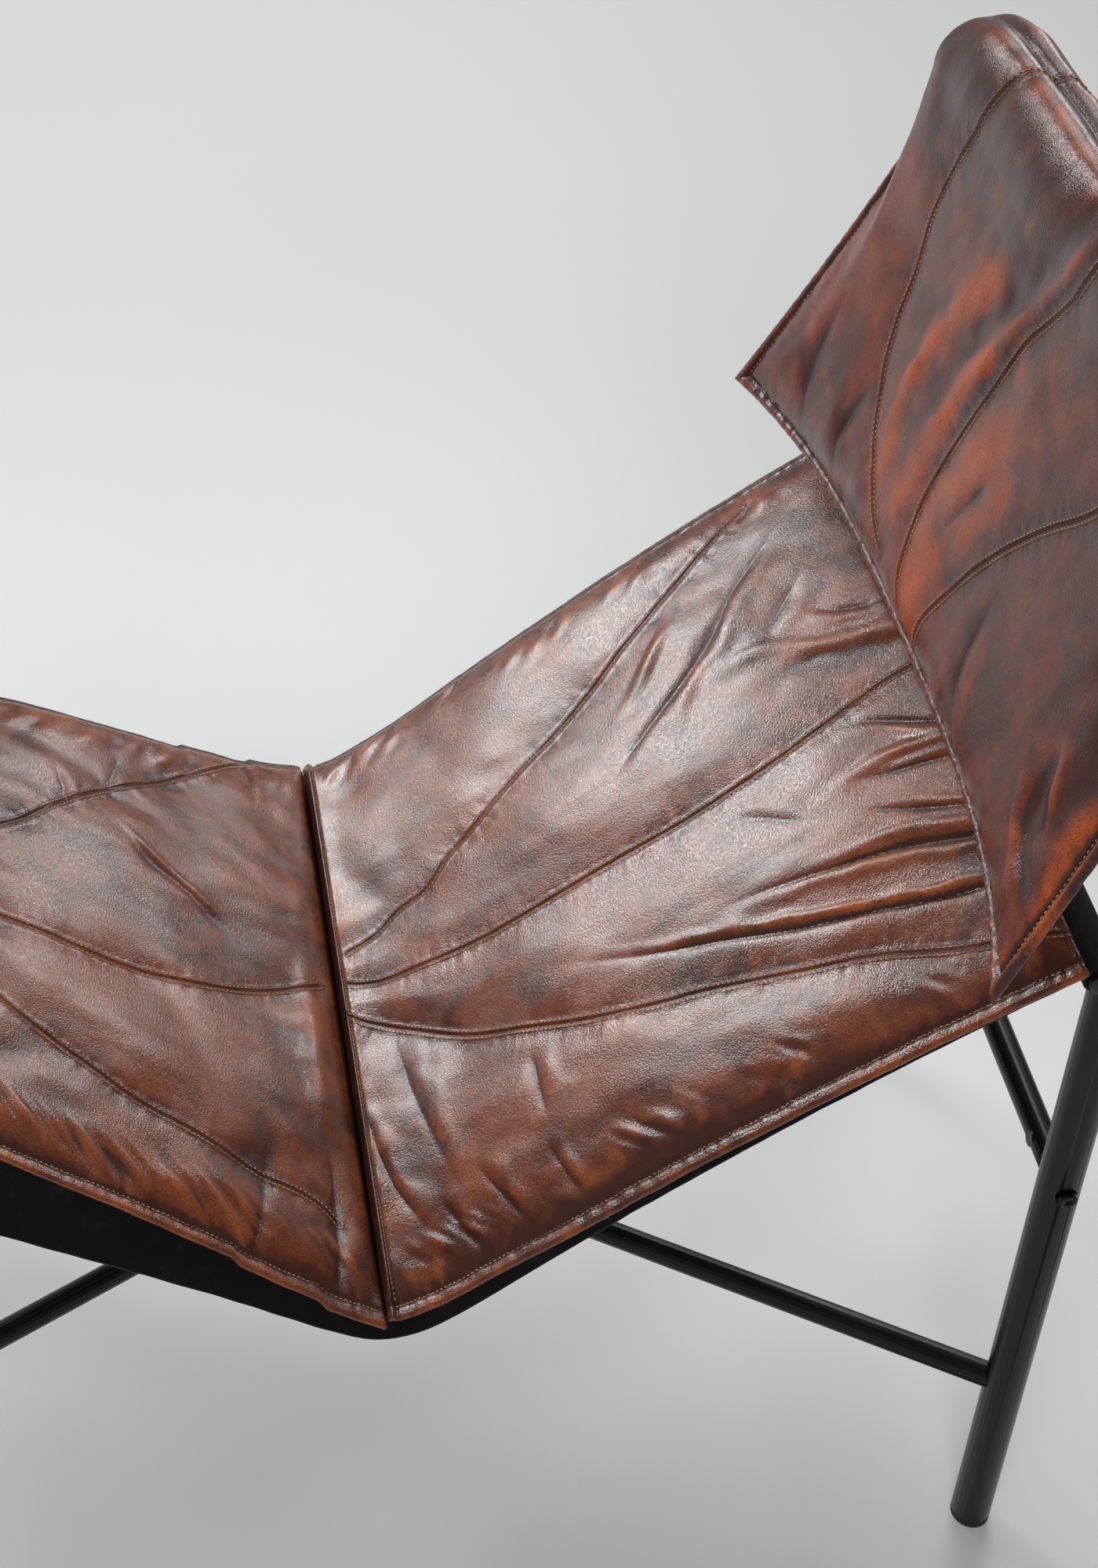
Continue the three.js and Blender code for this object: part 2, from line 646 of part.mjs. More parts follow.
/** A pad on the sling: places along it, half width and rim height along it, seams and crown. */
function quiltedPad({ places, halfWidth, seamShares, rimHeight, crown, softEnds }) {
  const rows = places.length - 1;
  const run = [0];
  for (let row = 1; row <= rows; row += 1) {
    run.push(run[row - 1] + places[row].point.distanceTo(places[row - 1].point));
  }
  const lanes = places.map((place, row) => laneColumns(seamShares, place.along, halfWidth(run[row] / run[rows])));
  const columns = lanes[0].length - 1;
  const lift = (row, column, amount, outward = 0) => {
    const { point, normal } = places[row];
    const spot = point.clone().addScaledVector(normal, CLEARANCE + amount);
    return new THREE.Vector3(spot.x, lanes[row][column].across + outward, spot.y);
  };
  const padding = (row, column) => {
    const half = halfWidth(run[row] / run[rows]);
    const { across, swell } = lanes[row][column];
    const start = softEnds.start ? run[row] : RIM_WIDTH;
    const end = softEnds.end ? run[rows] - run[row] : RIM_WIDTH;
    const rise = rimRise(half - Math.abs(across)) * rimRise(start) * rimRise(end);
    return rimHeight(run[row] / run[rows]) + (crown - SEAM_DEPTH * (1 - swell)) * rise;
  };
  return sheetSolid(
    rows,
    columns,
    (row, column) => lift(row, column, padding(row, column)),
    (row, column) => lift(row, column, 0),
    (row, column) => {
      const side = column === 0 ? -1 : Number(column === columns);
      return lift(row, column, padding(row, column) / 2, side * RIM_BULGE);
    },
  );
}

// Each seam: its share of the half width at the valley, at the bar, and its bow between them.
const seatSeamShares = [[-0.93, -0.16, 0.04], [0.07, -0.05, -0.12], [0.98, 0.06, 0.03]];
const backSeamShares = [[-0.07, -0.9, -0.1], [0.03, 0.09, -0.14], [0.14, 1.16, -0.09]];

/** The seat pad's places, from its end turned down over the foot bar to the valley. */
function seatPadPlaces() {
  const places = [];
  const turnStep = (SEAT_WRAP_SHARE * Math.PI) / SEAT_WRAP_ROWS;
  for (let row = SEAT_WRAP_ROWS; row > 0; row -= 1) {
    const turn = seatRun.lean - row * turnStep;
    const normal = new THREE.Vector2(Math.sin(turn), Math.cos(turn));
    const point = new THREE.Vector2(footBar.x, footBar.z);
    places.push({ point: point.addScaledVector(normal, sleeveRadius / Math.cos(turnStep / 2)), normal, along: 1 });
  }
  const last = { ...slingPlace(PAD_SPLIT_X - CLEARANCE), along: 0 };
  return [...places, ...seatPlaces.slice(0, -1), last];
}

/** The back pad's places, from the valley to just short of the sling bar's sleeve. */
function backPadPlaces() {
  const first = { ...slingPlace(PAD_SPLIT_X + CLEARANCE), along: 0 };
  const last = { ...slingPlace(backRun.end.x - BACK_END_GAP), along: 1 };
  return [first, ...backPlaces.slice(1, -1), last];
}

addPart('seat_pad', quiltedPad({
  places: seatPadPlaces(),
  halfWidth: (share) => THREE.MathUtils.lerp(SEAT_HALF_WIDTH_FOOT, SEAT_HALF_WIDTH_VALLEY, share),
  seamShares: seatSeamShares,
  rimHeight: (share) => THREE.MathUtils.lerp(SEAT_RIM_FOOT, SEAT_RIM_VALLEY, share),
  crown: SEAT_CROWN,
  softEnds: { start: true, end: false },
}), padLeather);
addPart('back_pad', quiltedPad({
  places: backPadPlaces(),
  halfWidth: () => BACK_HALF_WIDTH,
  seamShares: backSeamShares,
  rimHeight: (share) => THREE.MathUtils.lerp(BACK_RIM_VALLEY, BACK_RIM_TOP, share),
  crown: BACK_CROWN,
  softEnds: { start: false, end: true },
}), padLeather);

// Head cushion. Each place on it has a height and an offset from the plane of the rear legs'
// axes, which is negative on the sitter's side.
const cushionSeamShares = [[0, -0.79, -0.03], [0.09, -0.24, 0.07], [0.19, 0.53, 0.11]];
const cushionInner = legRadius + CUSHION_SLOT_SLACK;
const legOuter = FOOT_Y - LEAN_Y_SHARE * REAR_LEG_HEIGHT + legRadius;
const legInner = legOuter - LEG_DIAMETER;
const cushionBottom = SLING_BAR_HEIGHT + CUSHION_LIFT;
const cushionTop = headBarHeight + CUSHION_RISE;
const flapBottom = headBarHeight - FLAP_DROP;

/** The height of the cushion's upper fold at a place across it. */
function cushionCrest(across) {
  return cushionTop - CUSHION_DROOP * Math.pow(Math.abs(across) / CUSHION_HALF_TOP, 6);
}

/** The height of the fold's under face: on the head bar, then up over the caps of the legs. */
function cushionCrown(across) {
  const onBar = headBarHeight + barRadius + CUSHION_SLACK;
  const onCaps = REAR_LEG_HEIGHT + CAP_DOME + CUSHION_SLACK * 3;
  const rise = smoothStep(legInner - CUSHION_SHOULDER, legInner - CUSHION_SLACK, Math.abs(across));
  const seated = THREE.MathUtils.lerp(onBar, onCaps, rise);
  return Math.min(seated, cushionCrest(across) - CUSHION_LEAST_TOP);
}

/** The cushion's two offsets and height at a row and a place across. */
function cushionPlace(row, across, half, swell) {
  const edge = Math.abs(across) / half;
  const rise = rimRise(half - Math.abs(across));
  const tuck = CUSHION_TUCK * smoothStep(legOuter + CUSHION_SLACK * 8, half, Math.abs(across));
  const crown = cushionCrown(across);
  const archFoot = crown - CUSHION_ARCH;
  const frontInner = (share) => {
    const flare = THREE.MathUtils.lerp(CUSHION_FLARE_MIDDLE, CUSHION_FLARE_CORNER, Math.pow(edge, 4));
    return -cushionInner - flare * Math.pow(1 - share, 1.5) + tuck * share * share;
  };
  const frontThick = (share) => {
    const body = THREE.MathUtils.lerp(CUSHION_THICK_BOTTOM, CUSHION_THICK_TOP, share);
    const full = body - (SEAM_DEPTH / 2) * (1 - swell);
    return CUSHION_RIM + (full - CUSHION_RIM) * rise;
  };
  const flapThick = FLAP_RIM + (FLAP_THICK - FLAP_RIM) * rise;
  if (row <= FRONT_ROWS) {
    const share = row / FRONT_ROWS;
    const height = THREE.MathUtils.lerp(cushionBottom, archFoot, share);
    const thick = frontThick(share) * (row === 0 ? CUSHION_RIM / CUSHION_THICK_TOP : 1);
    return {
      inner: [frontInner(share), height],
      outer: [frontInner(share) - thick, height],
    };
  }
  if (row <= FRONT_ROWS + ARCH_ROWS) {
    const turn = Math.PI * (1 - (row - FRONT_ROWS) / ARCH_ROWS);
    const square = (value) => Math.sign(value) * Math.sqrt(Math.abs(value));
    const innerMiddle = (frontInner(1) + cushionInner) / 2;
    const innerHalf = (cushionInner - frontInner(1)) / 2;
    const outerFront = frontInner(1) - frontThick(1);
    const outerRear = cushionInner + flapThick;
    return {
      inner: [
        innerMiddle + innerHalf * square(Math.cos(turn)),
        archFoot + CUSHION_ARCH * square(Math.sin(turn)),
      ],
      outer: [
        (outerFront + outerRear) / 2 + ((outerRear - outerFront) / 2) * Math.cos(turn),
        archFoot + (cushionCrest(across) - archFoot) * Math.sin(turn),
      ],
    };
  }
  const share = (row - FRONT_ROWS - ARCH_ROWS) / FLAP_ROWS;
  const height = THREE.MathUtils.lerp(archFoot, flapBottom, share);
  return { inner: [cushionInner, height], outer: [cushionInner + flapThick, height] };
}

function cushionGeometry() {
  const rows = FRONT_ROWS + ARCH_ROWS + FLAP_ROWS;
  const lanes = [];
  for (let row = 0; row <= rows; row += 1) {
    const along = Math.min(1, row / FRONT_ROWS);
    const half = THREE.MathUtils.lerp(CUSHION_HALF_BOTTOM, CUSHION_HALF_TOP, along);
    lanes.push({ half, columns: laneColumns(cushionSeamShares, along, half) });
  }
  const columns = lanes[0].columns.length - 1;
  const spot = (row, column, depth, outward = 0) => {
    const { half, columns: across } = lanes[row];
    const place = cushionPlace(row, across[column].across, half, across[column].swell);
    const offset = THREE.MathUtils.lerp(place.inner[0], place.outer[0], depth);
    const height = THREE.MathUtils.lerp(place.inner[1], place.outer[1], depth);
    return new THREE.Vector3(
      FOOT_X - LEAN_X_SHARE * height + offset,
      across[column].across + outward,
      height,
    );
  };
  return sheetSolid(
    rows,
    columns,
    (row, column) => spot(row, column, 1),
    (row, column) => spot(row, column, 0),
    (row, column) => {
      const side = column === 0 ? -1 : Number(column === columns);
      return spot(row, column, 0.5, side * RIM_BULGE);
    },
  );
}

addPart('head_cushion', cushionGeometry(), headLeather);

export default chair;
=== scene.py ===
"""Looks of the leather sling lounge chair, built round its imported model.

A tube frame carries a canvas sling between two bars. A quilted leather seat pad and back pad lie
on the sling, and a padded head cushion of the same leather is folded over the head bar. Lengths
are in metres, +Z is up and +X points towards the head end.
"""
import logging
import math
from collections.abc import Callable
from dataclasses import dataclass, field
from enum import Enum

import bmesh
import bpy
import numpy as np
from mathutils import Matrix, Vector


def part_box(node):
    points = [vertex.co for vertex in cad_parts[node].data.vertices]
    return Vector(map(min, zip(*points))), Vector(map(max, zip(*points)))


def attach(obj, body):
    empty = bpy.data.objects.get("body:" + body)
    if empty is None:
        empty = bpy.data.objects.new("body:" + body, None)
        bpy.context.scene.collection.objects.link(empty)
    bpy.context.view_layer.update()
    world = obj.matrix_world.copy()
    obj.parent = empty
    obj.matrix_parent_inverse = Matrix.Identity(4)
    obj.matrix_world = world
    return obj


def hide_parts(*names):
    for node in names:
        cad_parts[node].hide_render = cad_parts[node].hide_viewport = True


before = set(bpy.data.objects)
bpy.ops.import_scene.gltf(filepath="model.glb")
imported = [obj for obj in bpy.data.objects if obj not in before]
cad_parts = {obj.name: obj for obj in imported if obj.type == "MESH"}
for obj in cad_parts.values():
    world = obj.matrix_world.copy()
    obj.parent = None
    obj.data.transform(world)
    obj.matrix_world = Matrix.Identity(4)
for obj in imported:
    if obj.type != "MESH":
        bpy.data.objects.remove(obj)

MM = 0.001
PHOTO_WIDTH = 1400
PHOTO_HEIGHT = 2000
BODY = "frame"
CUSHION_BODY = "head_cushion"

Array = np.ndarray
Material = bpy.types.Material
Piece = bpy.types.Object
Socket = bpy.types.NodeSocket
Tree = bpy.types.NodeTree
Pixels = tuple[tuple[float, float], ...]
log = logging.getLogger("sling_chair")


# Numbers on grids.

def smooth_step(low: float | Array, high: float | Array, value: float | Array) -> Array:
    """A step that eases from 0 at low to 1 at high: 3t^2 - 2t^3 of the share t between them."""
    share = np.clip((np.asarray(value, float) - low) / (np.asarray(high, float) - low), 0, 1)
    return share * share * (3 - 2 * share)


def bell(distance: Array, width: float) -> Array:
    """A bell curve of a distance: e to the power of minus its square in widths."""
    return np.exp(-((distance / width) ** 2))


def blurred(grid: Array, radius: int) -> Array:
    """Softens a grid by three running means along each direction, close to a bell curve.

    Args:
        grid: Values in rows and columns.
        radius: Cells on each side that a mean takes in.

    Returns:
        The softened values, as many as before.
    """
    window = 2 * radius + 1
    for _ in range(3):
        for axis in (0, 1):
            margin = [(radius + 1, radius) if side == axis else (0, 0) for side in (0, 1)]
            total = np.cumsum(np.pad(grid, margin, mode="edge"), axis=axis)
            count = total.shape[axis]
            upper = np.take(total, np.arange(window, count), axis)
            lower = np.take(total, np.arange(count - window), axis)
            grid = (upper - lower) / window
    return grid


def lengths_along(line: Array) -> Array:
    """Length of a line up to each of its points."""
    return np.concatenate([[0], np.cumsum(np.linalg.norm(np.diff(line, axis=0), axis=1))])


def smooth_line(points: Array, step: float) -> Array:
    """A smooth line through points, as steps of one length along a Catmull-Rom curve.

    Each span is 0.5 (2b + (c-a)t + (2a-5b+4c-d)t^2 + (3b-a-3c+d)t^3) of its four nearest points.

    Args:
        points: The points, one per row.
        step: Length of a step in the points' own unit.

    Returns:
        The points of the line, one per row.
    """
    points = np.asarray(points, float)
    ends = np.vstack([2 * points[0] - points[1], points, 2 * points[-1] - points[-2]])
    share = np.linspace(0, 1, 12, endpoint=False)[None, :, None]
    a, b, c, d = (ends[first:len(ends) - 3 + first, None, :] for first in range(4))
    curve = 0.5 * (
        2 * b + (c - a) * share + (2 * a - 5 * b + 4 * c - d) * share**2
        + (3 * b - a - 3 * c + d) * share**3
    )
    curve = np.vstack([curve.reshape(-1, points.shape[1]), points[-1]])
    along = lengths_along(curve)
    wanted = np.linspace(0, along[-1], max(2, round(along[-1] / step) + 1))
    line = np.stack([np.interp(wanted, along, column) for column in curve.T], axis=1)
    for _ in range(6):
        line[1:-1] = (line[:-2] + 2 * line[1:-1] + line[2:]) / 4
    return line


@dataclass(frozen=True)
class Distance:
    """How grid points lie to a line: distance to it, signed offset from it and place along it."""

    away: Array
    offset: Array
    along: Array


def distance_to(u: Array, v: Array, line: Array, reach: float) -> Distance:
    """Measures grid points against a line, within a reach of it.

    Each point is dropped square onto every span of the line, and the nearest foot counts.

    Args:
        u: First coordinate of the grid points.
        v: Second coordinate of the grid points.
        line: Points of the line, one per row.
        reach: Points further than this get the reach as their distance.

    Returns:
        The distance, signed offset and place along the line of each grid point.
    """
    away = np.full(u.shape, float(reach))
    offset = np.full(u.shape, float(reach))
    along = np.zeros(u.shape)
    low, high = line.min(0) - reach, line.max(0) + reach
    near = (u > low[0]) & (u < high[0]) & (v > low[1]) & (v < high[1])
    if not near.any():
        return Distance(away, offset, along)
    points = np.stack([u[near], v[near]], axis=1)
    best = np.full(len(points), float(reach))
    best_offset = np.full(len(points), float(reach))
    best_along = np.zeros(len(points))
    gone = 0.0
    for start, end in zip(line[:-1], line[1:]):
        span = end - start
        length = float(np.hypot(*span))
        share = np.clip((points - start) @ span / length**2, 0, 1)
        gap = points - start - share[:, None] * span
        far = np.hypot(gap[:, 0], gap[:, 1])
        closer = far < best
        side = np.sign(span[0] * gap[:, 1] - span[1] * gap[:, 0])
        best = np.where(closer, far, best)
        best_offset = np.where(closer, far * side, best_offset)
        best_along = np.where(closer, gone + share * length, best_along)
        gone += length
    away[near] = best
    offset[near] = best_offset
    along[near] = best_along
    return Distance(away, offset, along)


@dataclass(frozen=True)
class Ripple:
    """Seeded smooth noise over a plane, between about -1 and 1.

    Each lattice corner has a slope of its own, and the slopes' values are eased between corners.
    """

    seed: int

    def at(self, u: Array, v: Array, size: float, stretch: float = 1.0) -> Array:
        """The noise at points of the plane.

        Args:
            u: First coordinate.
            v: Second coordinate.
            size: Distance between lattice corners along u.
            stretch: That distance along v, as a multiple of the one along u.

        Returns:
            One value for each point.
        """
        cells = 64
        turn = np.random.default_rng(self.seed).uniform(0, 2 * math.pi, (cells, cells))
        x, y = u / size + self.seed, v / (size * stretch) + self.seed
        column, row = np.floor(x).astype(int), np.floor(y).astype(int)
        x, y = x - column, y - row

        def corner(right: int, up: int) -> Array:
            """The value that one corner's slope gives."""
            angle = turn[(column + right) % cells, (row + up) % cells]
            return np.cos(angle) * (x - right) + np.sin(angle) * (y - up)

        ease_x = x**3 * (x * (6 * x - 15) + 10)
        ease_y = y**3 * (y * (6 * y - 15) + 10)
        low = corner(0, 0) + (corner(1, 0) - corner(0, 0)) * ease_x
        high = corner(0, 1) + (corner(1, 1) - corner(0, 1)) * ease_x
        return 1.5 * (low + (high - low) * ease_y)


def spaced(length: float, step: float, rim: float, fine: float) -> Array:
    """Places from 0 to a length, closer together within a rim of either end.

    Args:
        length: The whole length.
        step: Distance between places in the middle.
        rim: Length of the finer stretch at either end.
        fine: Distance between places in that stretch.

    Returns:
        The places, in rising order.
    """
    edge = np.linspace(0, rim, round(rim / fine) + 1)
    middle = np.linspace(rim, length - rim, round((length - 2 * rim) / step) + 1)
    return np.concatenate([edge, middle[1:-1], length - edge[::-1]])


def grid_normals(points: Array) -> Array:
    """Unit normals of a grid of points: the cross product of its row and column directions."""
    normal = np.cross(np.gradient(points, axis=0), np.gradient(points, axis=1))
    return normal / np.maximum(np.linalg.norm(normal, axis=2, keepdims=True), 1e-12)


# Camera of the photograph, which also lays the photograph's lines on the surfaces.

@dataclass(frozen=True)
class PhotoCamera:
    """The view of the photograph, worked out from the frame's straight tubes."""

    place: tuple[float, float, float] = (-0.2360, -1.2299, 1.7725)
    focal: float = 3090.8
    centre: tuple[float, float] = (220.45, 999.26)
    azimuth: float = math.radians(3.7665)
    pitch: float = math.radians(43.708)
    sensor: float = 36.0
    nearest: float = 0.6
    furthest: float = 3.4
    halvings: int = 40

    def axes(self) -> Array:
        """The camera's right, up and forward directions, one per row."""
        sin_a, cos_a = math.sin(self.azimuth), math.cos(self.azimuth)
        forward = np.array([
            sin_a * math.cos(self.pitch), cos_a * math.cos(self.pitch), -math.sin(self.pitch),
        ])
        right = np.array([cos_a, -sin_a, 0.0])
        return np.stack([right, np.cross(right, forward), forward])

    def rays(self, pixels: Pixels) -> Array:
        """Directions from the camera through pixels of the photograph, one per row."""
        right, up, forward = self.axes()
        spots = (np.asarray(pixels, float) - self.centre) / self.focal
        return forward + spots[:, :1] * right - spots[:, 1:] * up

    def hits(self, pixels: Pixels, below: Callable[[Array], Array]) -> Array:
        """Where rays through pixels meet a surface, by halving the stretch that holds it.

        Args:
            pixels: Pixels of the photograph.
            below: Says of each point whether it is past the surface.

        Returns:
            One point for each pixel.
        """
        rays = self.rays(pixels)
        near = np.full(len(rays), self.nearest)
        far = np.full(len(rays), self.furthest)
        for _ in range(self.halvings):
            middle = (near + far) / 2
            past = below(self.place + rays * middle[:, None])
            far = np.where(past, middle, far)
            near = np.where(past, near, middle)
        return self.place + rays * far[:, None]

    def make(self) -> None:
        """Adds the camera to the scene and makes it the one that renders."""
        data = bpy.data.cameras.new("photo_camera")
        data.sensor_width = self.sensor
        data.lens = self.focal / PHOTO_HEIGHT * self.sensor
        data.shift_x = (PHOTO_WIDTH / 2 - self.centre[0]) / PHOTO_HEIGHT
        data.shift_y = -(PHOTO_HEIGHT / 2 - self.centre[1]) / PHOTO_HEIGHT
        camera = bpy.data.objects.new("photo_camera", data)
        right, up, forward = self.axes()
        turned = np.identity(4)
        turned[:3, 0], turned[:3, 1], turned[:3, 2] = right, up, -forward
        turned[:3, 3] = self.place
        camera.matrix_world = Matrix(turned.tolist())
        link(camera)
        bpy.context.scene.camera = camera


PHOTO = PhotoCamera()


# Meshes.

def link(thing: Piece) -> None:
    """Puts an object into the scene."""
    bpy.context.scene.collection.objects.link(thing)


def mesh_object(name: str, points: Array, faces: list, material: Material,
                smooth: bool = True) -> Piece:
    """Makes an object of points and faces, with its place in its mesh.

    Args:
        name: Name of the object and its mesh.
        points: Its points, as an array whose last side is x, y and z.
        faces: Its faces, as lists of point numbers.
        material: What it is finished in.
        smooth: Whether its faces shade smoothly.

    Returns:
        The object, linked to the scene.
    """
    mesh = bpy.data.meshes.new(name)
    mesh.from_pydata(np.asarray(points).reshape(-1, 3), [], faces)
    mesh.polygons.foreach_set("use_smooth", np.full(len(mesh.polygons), smooth))
    mesh.materials.append(material)
    mesh.update()
    made = bpy.data.objects.new(name, mesh)
    link(made)
    return made


def give_values(target: Piece, name: str, values: Array) -> None:
    """Stores one number per point of a mesh under a name, for its material."""
    attribute = target.data.attributes.new(name, "FLOAT", "POINT")
    attribute.data.foreach_set("value", values.astype(np.float32).ravel())


def grid_faces(rows: int, columns: int) -> list:
    """Four-sided faces of a grid of points, as tuples of point numbers."""
    number = np.arange(rows * columns).reshape(rows, columns)
    corners = [number[:-1, :-1], number[1:, :-1], number[1:, 1:], number[:-1, 1:]]
    return np.stack(corners, axis=2).reshape(-1, 4).tolist()


def border(rows: int, columns: int) -> tuple[Array, Array]:
    """Row and column of each point round a grid's border: up the first column and on round.

    Args:
        rows: Rows of the grid.
        columns: Columns of the grid.

    Returns:
        The row and the column of each border point, in order.
    """
    up, across = np.arange(rows - 1), np.arange(columns - 1)
    row = np.concatenate([
        up, np.full(columns - 1, rows - 1), rows - 1 - up, np.zeros(columns - 1, int),
    ])
    column = np.concatenate([
        np.zeros(rows - 1, int), across, np.full(rows - 1, columns - 1), columns - 1 - across,
    ])
    return row, column


def closed_shell(top: Array, rings: list[Array], under: Array, stride: int = 8) -> tuple[Array, list]:
    """Closes a padded cover: its upper grid, rings round its rim and a coarser under side.

    The under side keeps every row and every stride-th column, and its outermost points are those
    of the last ring. Its faces along the two ends are polygons that take in the ring's points.

    Args:
        top: Upper grid, rows by columns by 3.
        rings: Loops of points round the border, from the upper grid's edge downwards.
        under: Lower grid, as large as the upper one.
        stride: Columns of the upper grid for each column of the under side.

    Returns:
        The points, and the faces as tuples of point numbers.
    """
    rows, columns = top.shape[:2]
    row, column = border(rows, columns)
    number = np.arange(rows * columns).reshape(rows, columns)
    faces = grid_faces(rows, columns)
    loop = number[row, column]
    points = [top.reshape(-1, 3)]
    total = rows * columns
    for ring in rings:
        lower = total + np.arange(len(ring))
        strip = [loop, lower, np.roll(lower, -1), np.roll(loop, -1)]
        faces += np.stack(strip, axis=1).tolist()
        points.append(ring)
        total += len(ring)
        loop = lower
    kept = np.unique(np.append(np.arange(0, columns - 1, stride), columns - 1))
    lower = np.full((rows, columns), -1)
    lower[row, column] = loop
    inner = np.zeros((rows, columns), bool)
    inner[1:-1, kept[1:-1]] = True
    lower[inner] = total + np.arange(inner.sum())
    points.append(under[inner])
    for first, last in zip(kept[:-1], kept[1:]):
        strip = np.stack([
            lower[1:-2, first], lower[1:-2, last], lower[2:-1, last], lower[2:-1, first],
        ], axis=1)
        faces += strip.tolist()
        ends = lower[0, first:last + 1].tolist()
        faces.append([*ends, int(lower[1, last]), int(lower[1, first])])
        ends = lower[-1, first:last + 1][::-1].tolist()
        faces.append([*ends, int(lower[-2, first]), int(lower[-2, last])])
    return np.vstack(points), faces


def rolled_rim(top: Array, radius: float, steps: int) -> list[Array]:
    """Rings of a rolled edge: a half circle from the upper grid's border outwards and under.

    Ring k lies at the border plus r sin(t) outwards and less r (1 - cos t) along the normal.

    Args:
        top: Upper grid, rows by columns by 3.
        radius: Radius r of the half circle.
        steps: Number of rings.

    Returns:
        The rings, each a loop of points round the border.
    """
    rows, columns = top.shape[:2]
    row, column = border(rows, columns)
    normal = grid_normals(top)[row, column]
    inward_row = np.clip(row, 1, rows - 2)
    inward_column = np.clip(column, 1, columns - 2)
    outward = top[row, column] - top[inward_row, inward_column]
    outward -= (outward * normal).sum(1, keepdims=True) * normal
    outward /= np.maximum(np.linalg.norm(outward, axis=1, keepdims=True), 1e-12)
    turns = np.linspace(0, math.pi, steps + 1)[1:]
    return [
        top[row, column] + radius * (math.sin(turn) * outward - (1 - math.cos(turn)) * normal)
        for turn in turns
    ]


# Shader nodes.

def fill_sockets(node: bpy.types.Node, values: dict) -> None:
    """Gives a node's input sockets their values, or links them where a value is a socket.

    Args:
        node: The node.
        values: Value or socket for each input, by its name or number.
    """
    for key, value in values.items():
        if isinstance(value, Socket):
            node.id_data.links.new(value, node.inputs[key])
        else:
            node.inputs[key].default_value = value


def add_node(tree: Tree, kind: str, values: dict | None = None,
             **settings: object) -> bpy.types.Node:
    """Adds a node, with its settings and the values or links of its sockets.

    Args:
        tree: Where the node goes.
        kind: Type of the node.
        values: Value or socket for each input, by its name or number.
        **settings: The node's own properties.

    Returns:
        The node.
    """
    made = tree.nodes.new(kind)
    for name, value in settings.items():
        setattr(made, name, value)
    fill_sockets(made, values or {})
    return made


def maths(tree: Tree, operation: str, *values: object) -> Socket:
    """Adds a Math node and returns its result."""
    return add_node(tree, "ShaderNodeMath", dict(enumerate(values)), operation=operation).outputs[0]


def blend_colour(tree: Tree, factor: object, first: object, second: object,
                 way: str = "MIX") -> Socket:
    """Adds a colour mix and returns its result."""
    values = {0: factor, 6: first, 7: second}
    made = add_node(tree, "ShaderNodeMix", values, data_type="RGBA", blend_type=way)
    return made.outputs[2]


def remap(tree: Tree, value: object, low: float, high: float,
          to_low: float = 0.0, to_high: float = 1.0) -> Socket:
    """Adds an eased map from one range to another and returns its result."""
    values = {"Value": value, "From Min": low, "From Max": high, "To Min": to_low, "To Max": to_high}
    return add_node(tree, "ShaderNodeMapRange", values, interpolation_type="SMOOTHSTEP").outputs[0]


def noise(tree: Tree, vector: object, scale: float, detail: float = 4.0,
          distortion: float = 0.0) -> Socket:
    """Adds a noise texture and returns its value."""
    values = {"Vector": vector, "Scale": scale, "Detail": detail, "Distortion": distortion}
    return add_node(tree, "ShaderNodeTexNoise", values).outputs[0]


def grey(value: float) -> tuple[float, float, float, float]:
    """A neutral colour."""
    return (value, value, value, 1.0)


def opaque(colour: tuple[float, float, float]) -> tuple[float, float, float, float]:
    """A colour with full opacity."""
    return (*colour, 1.0)


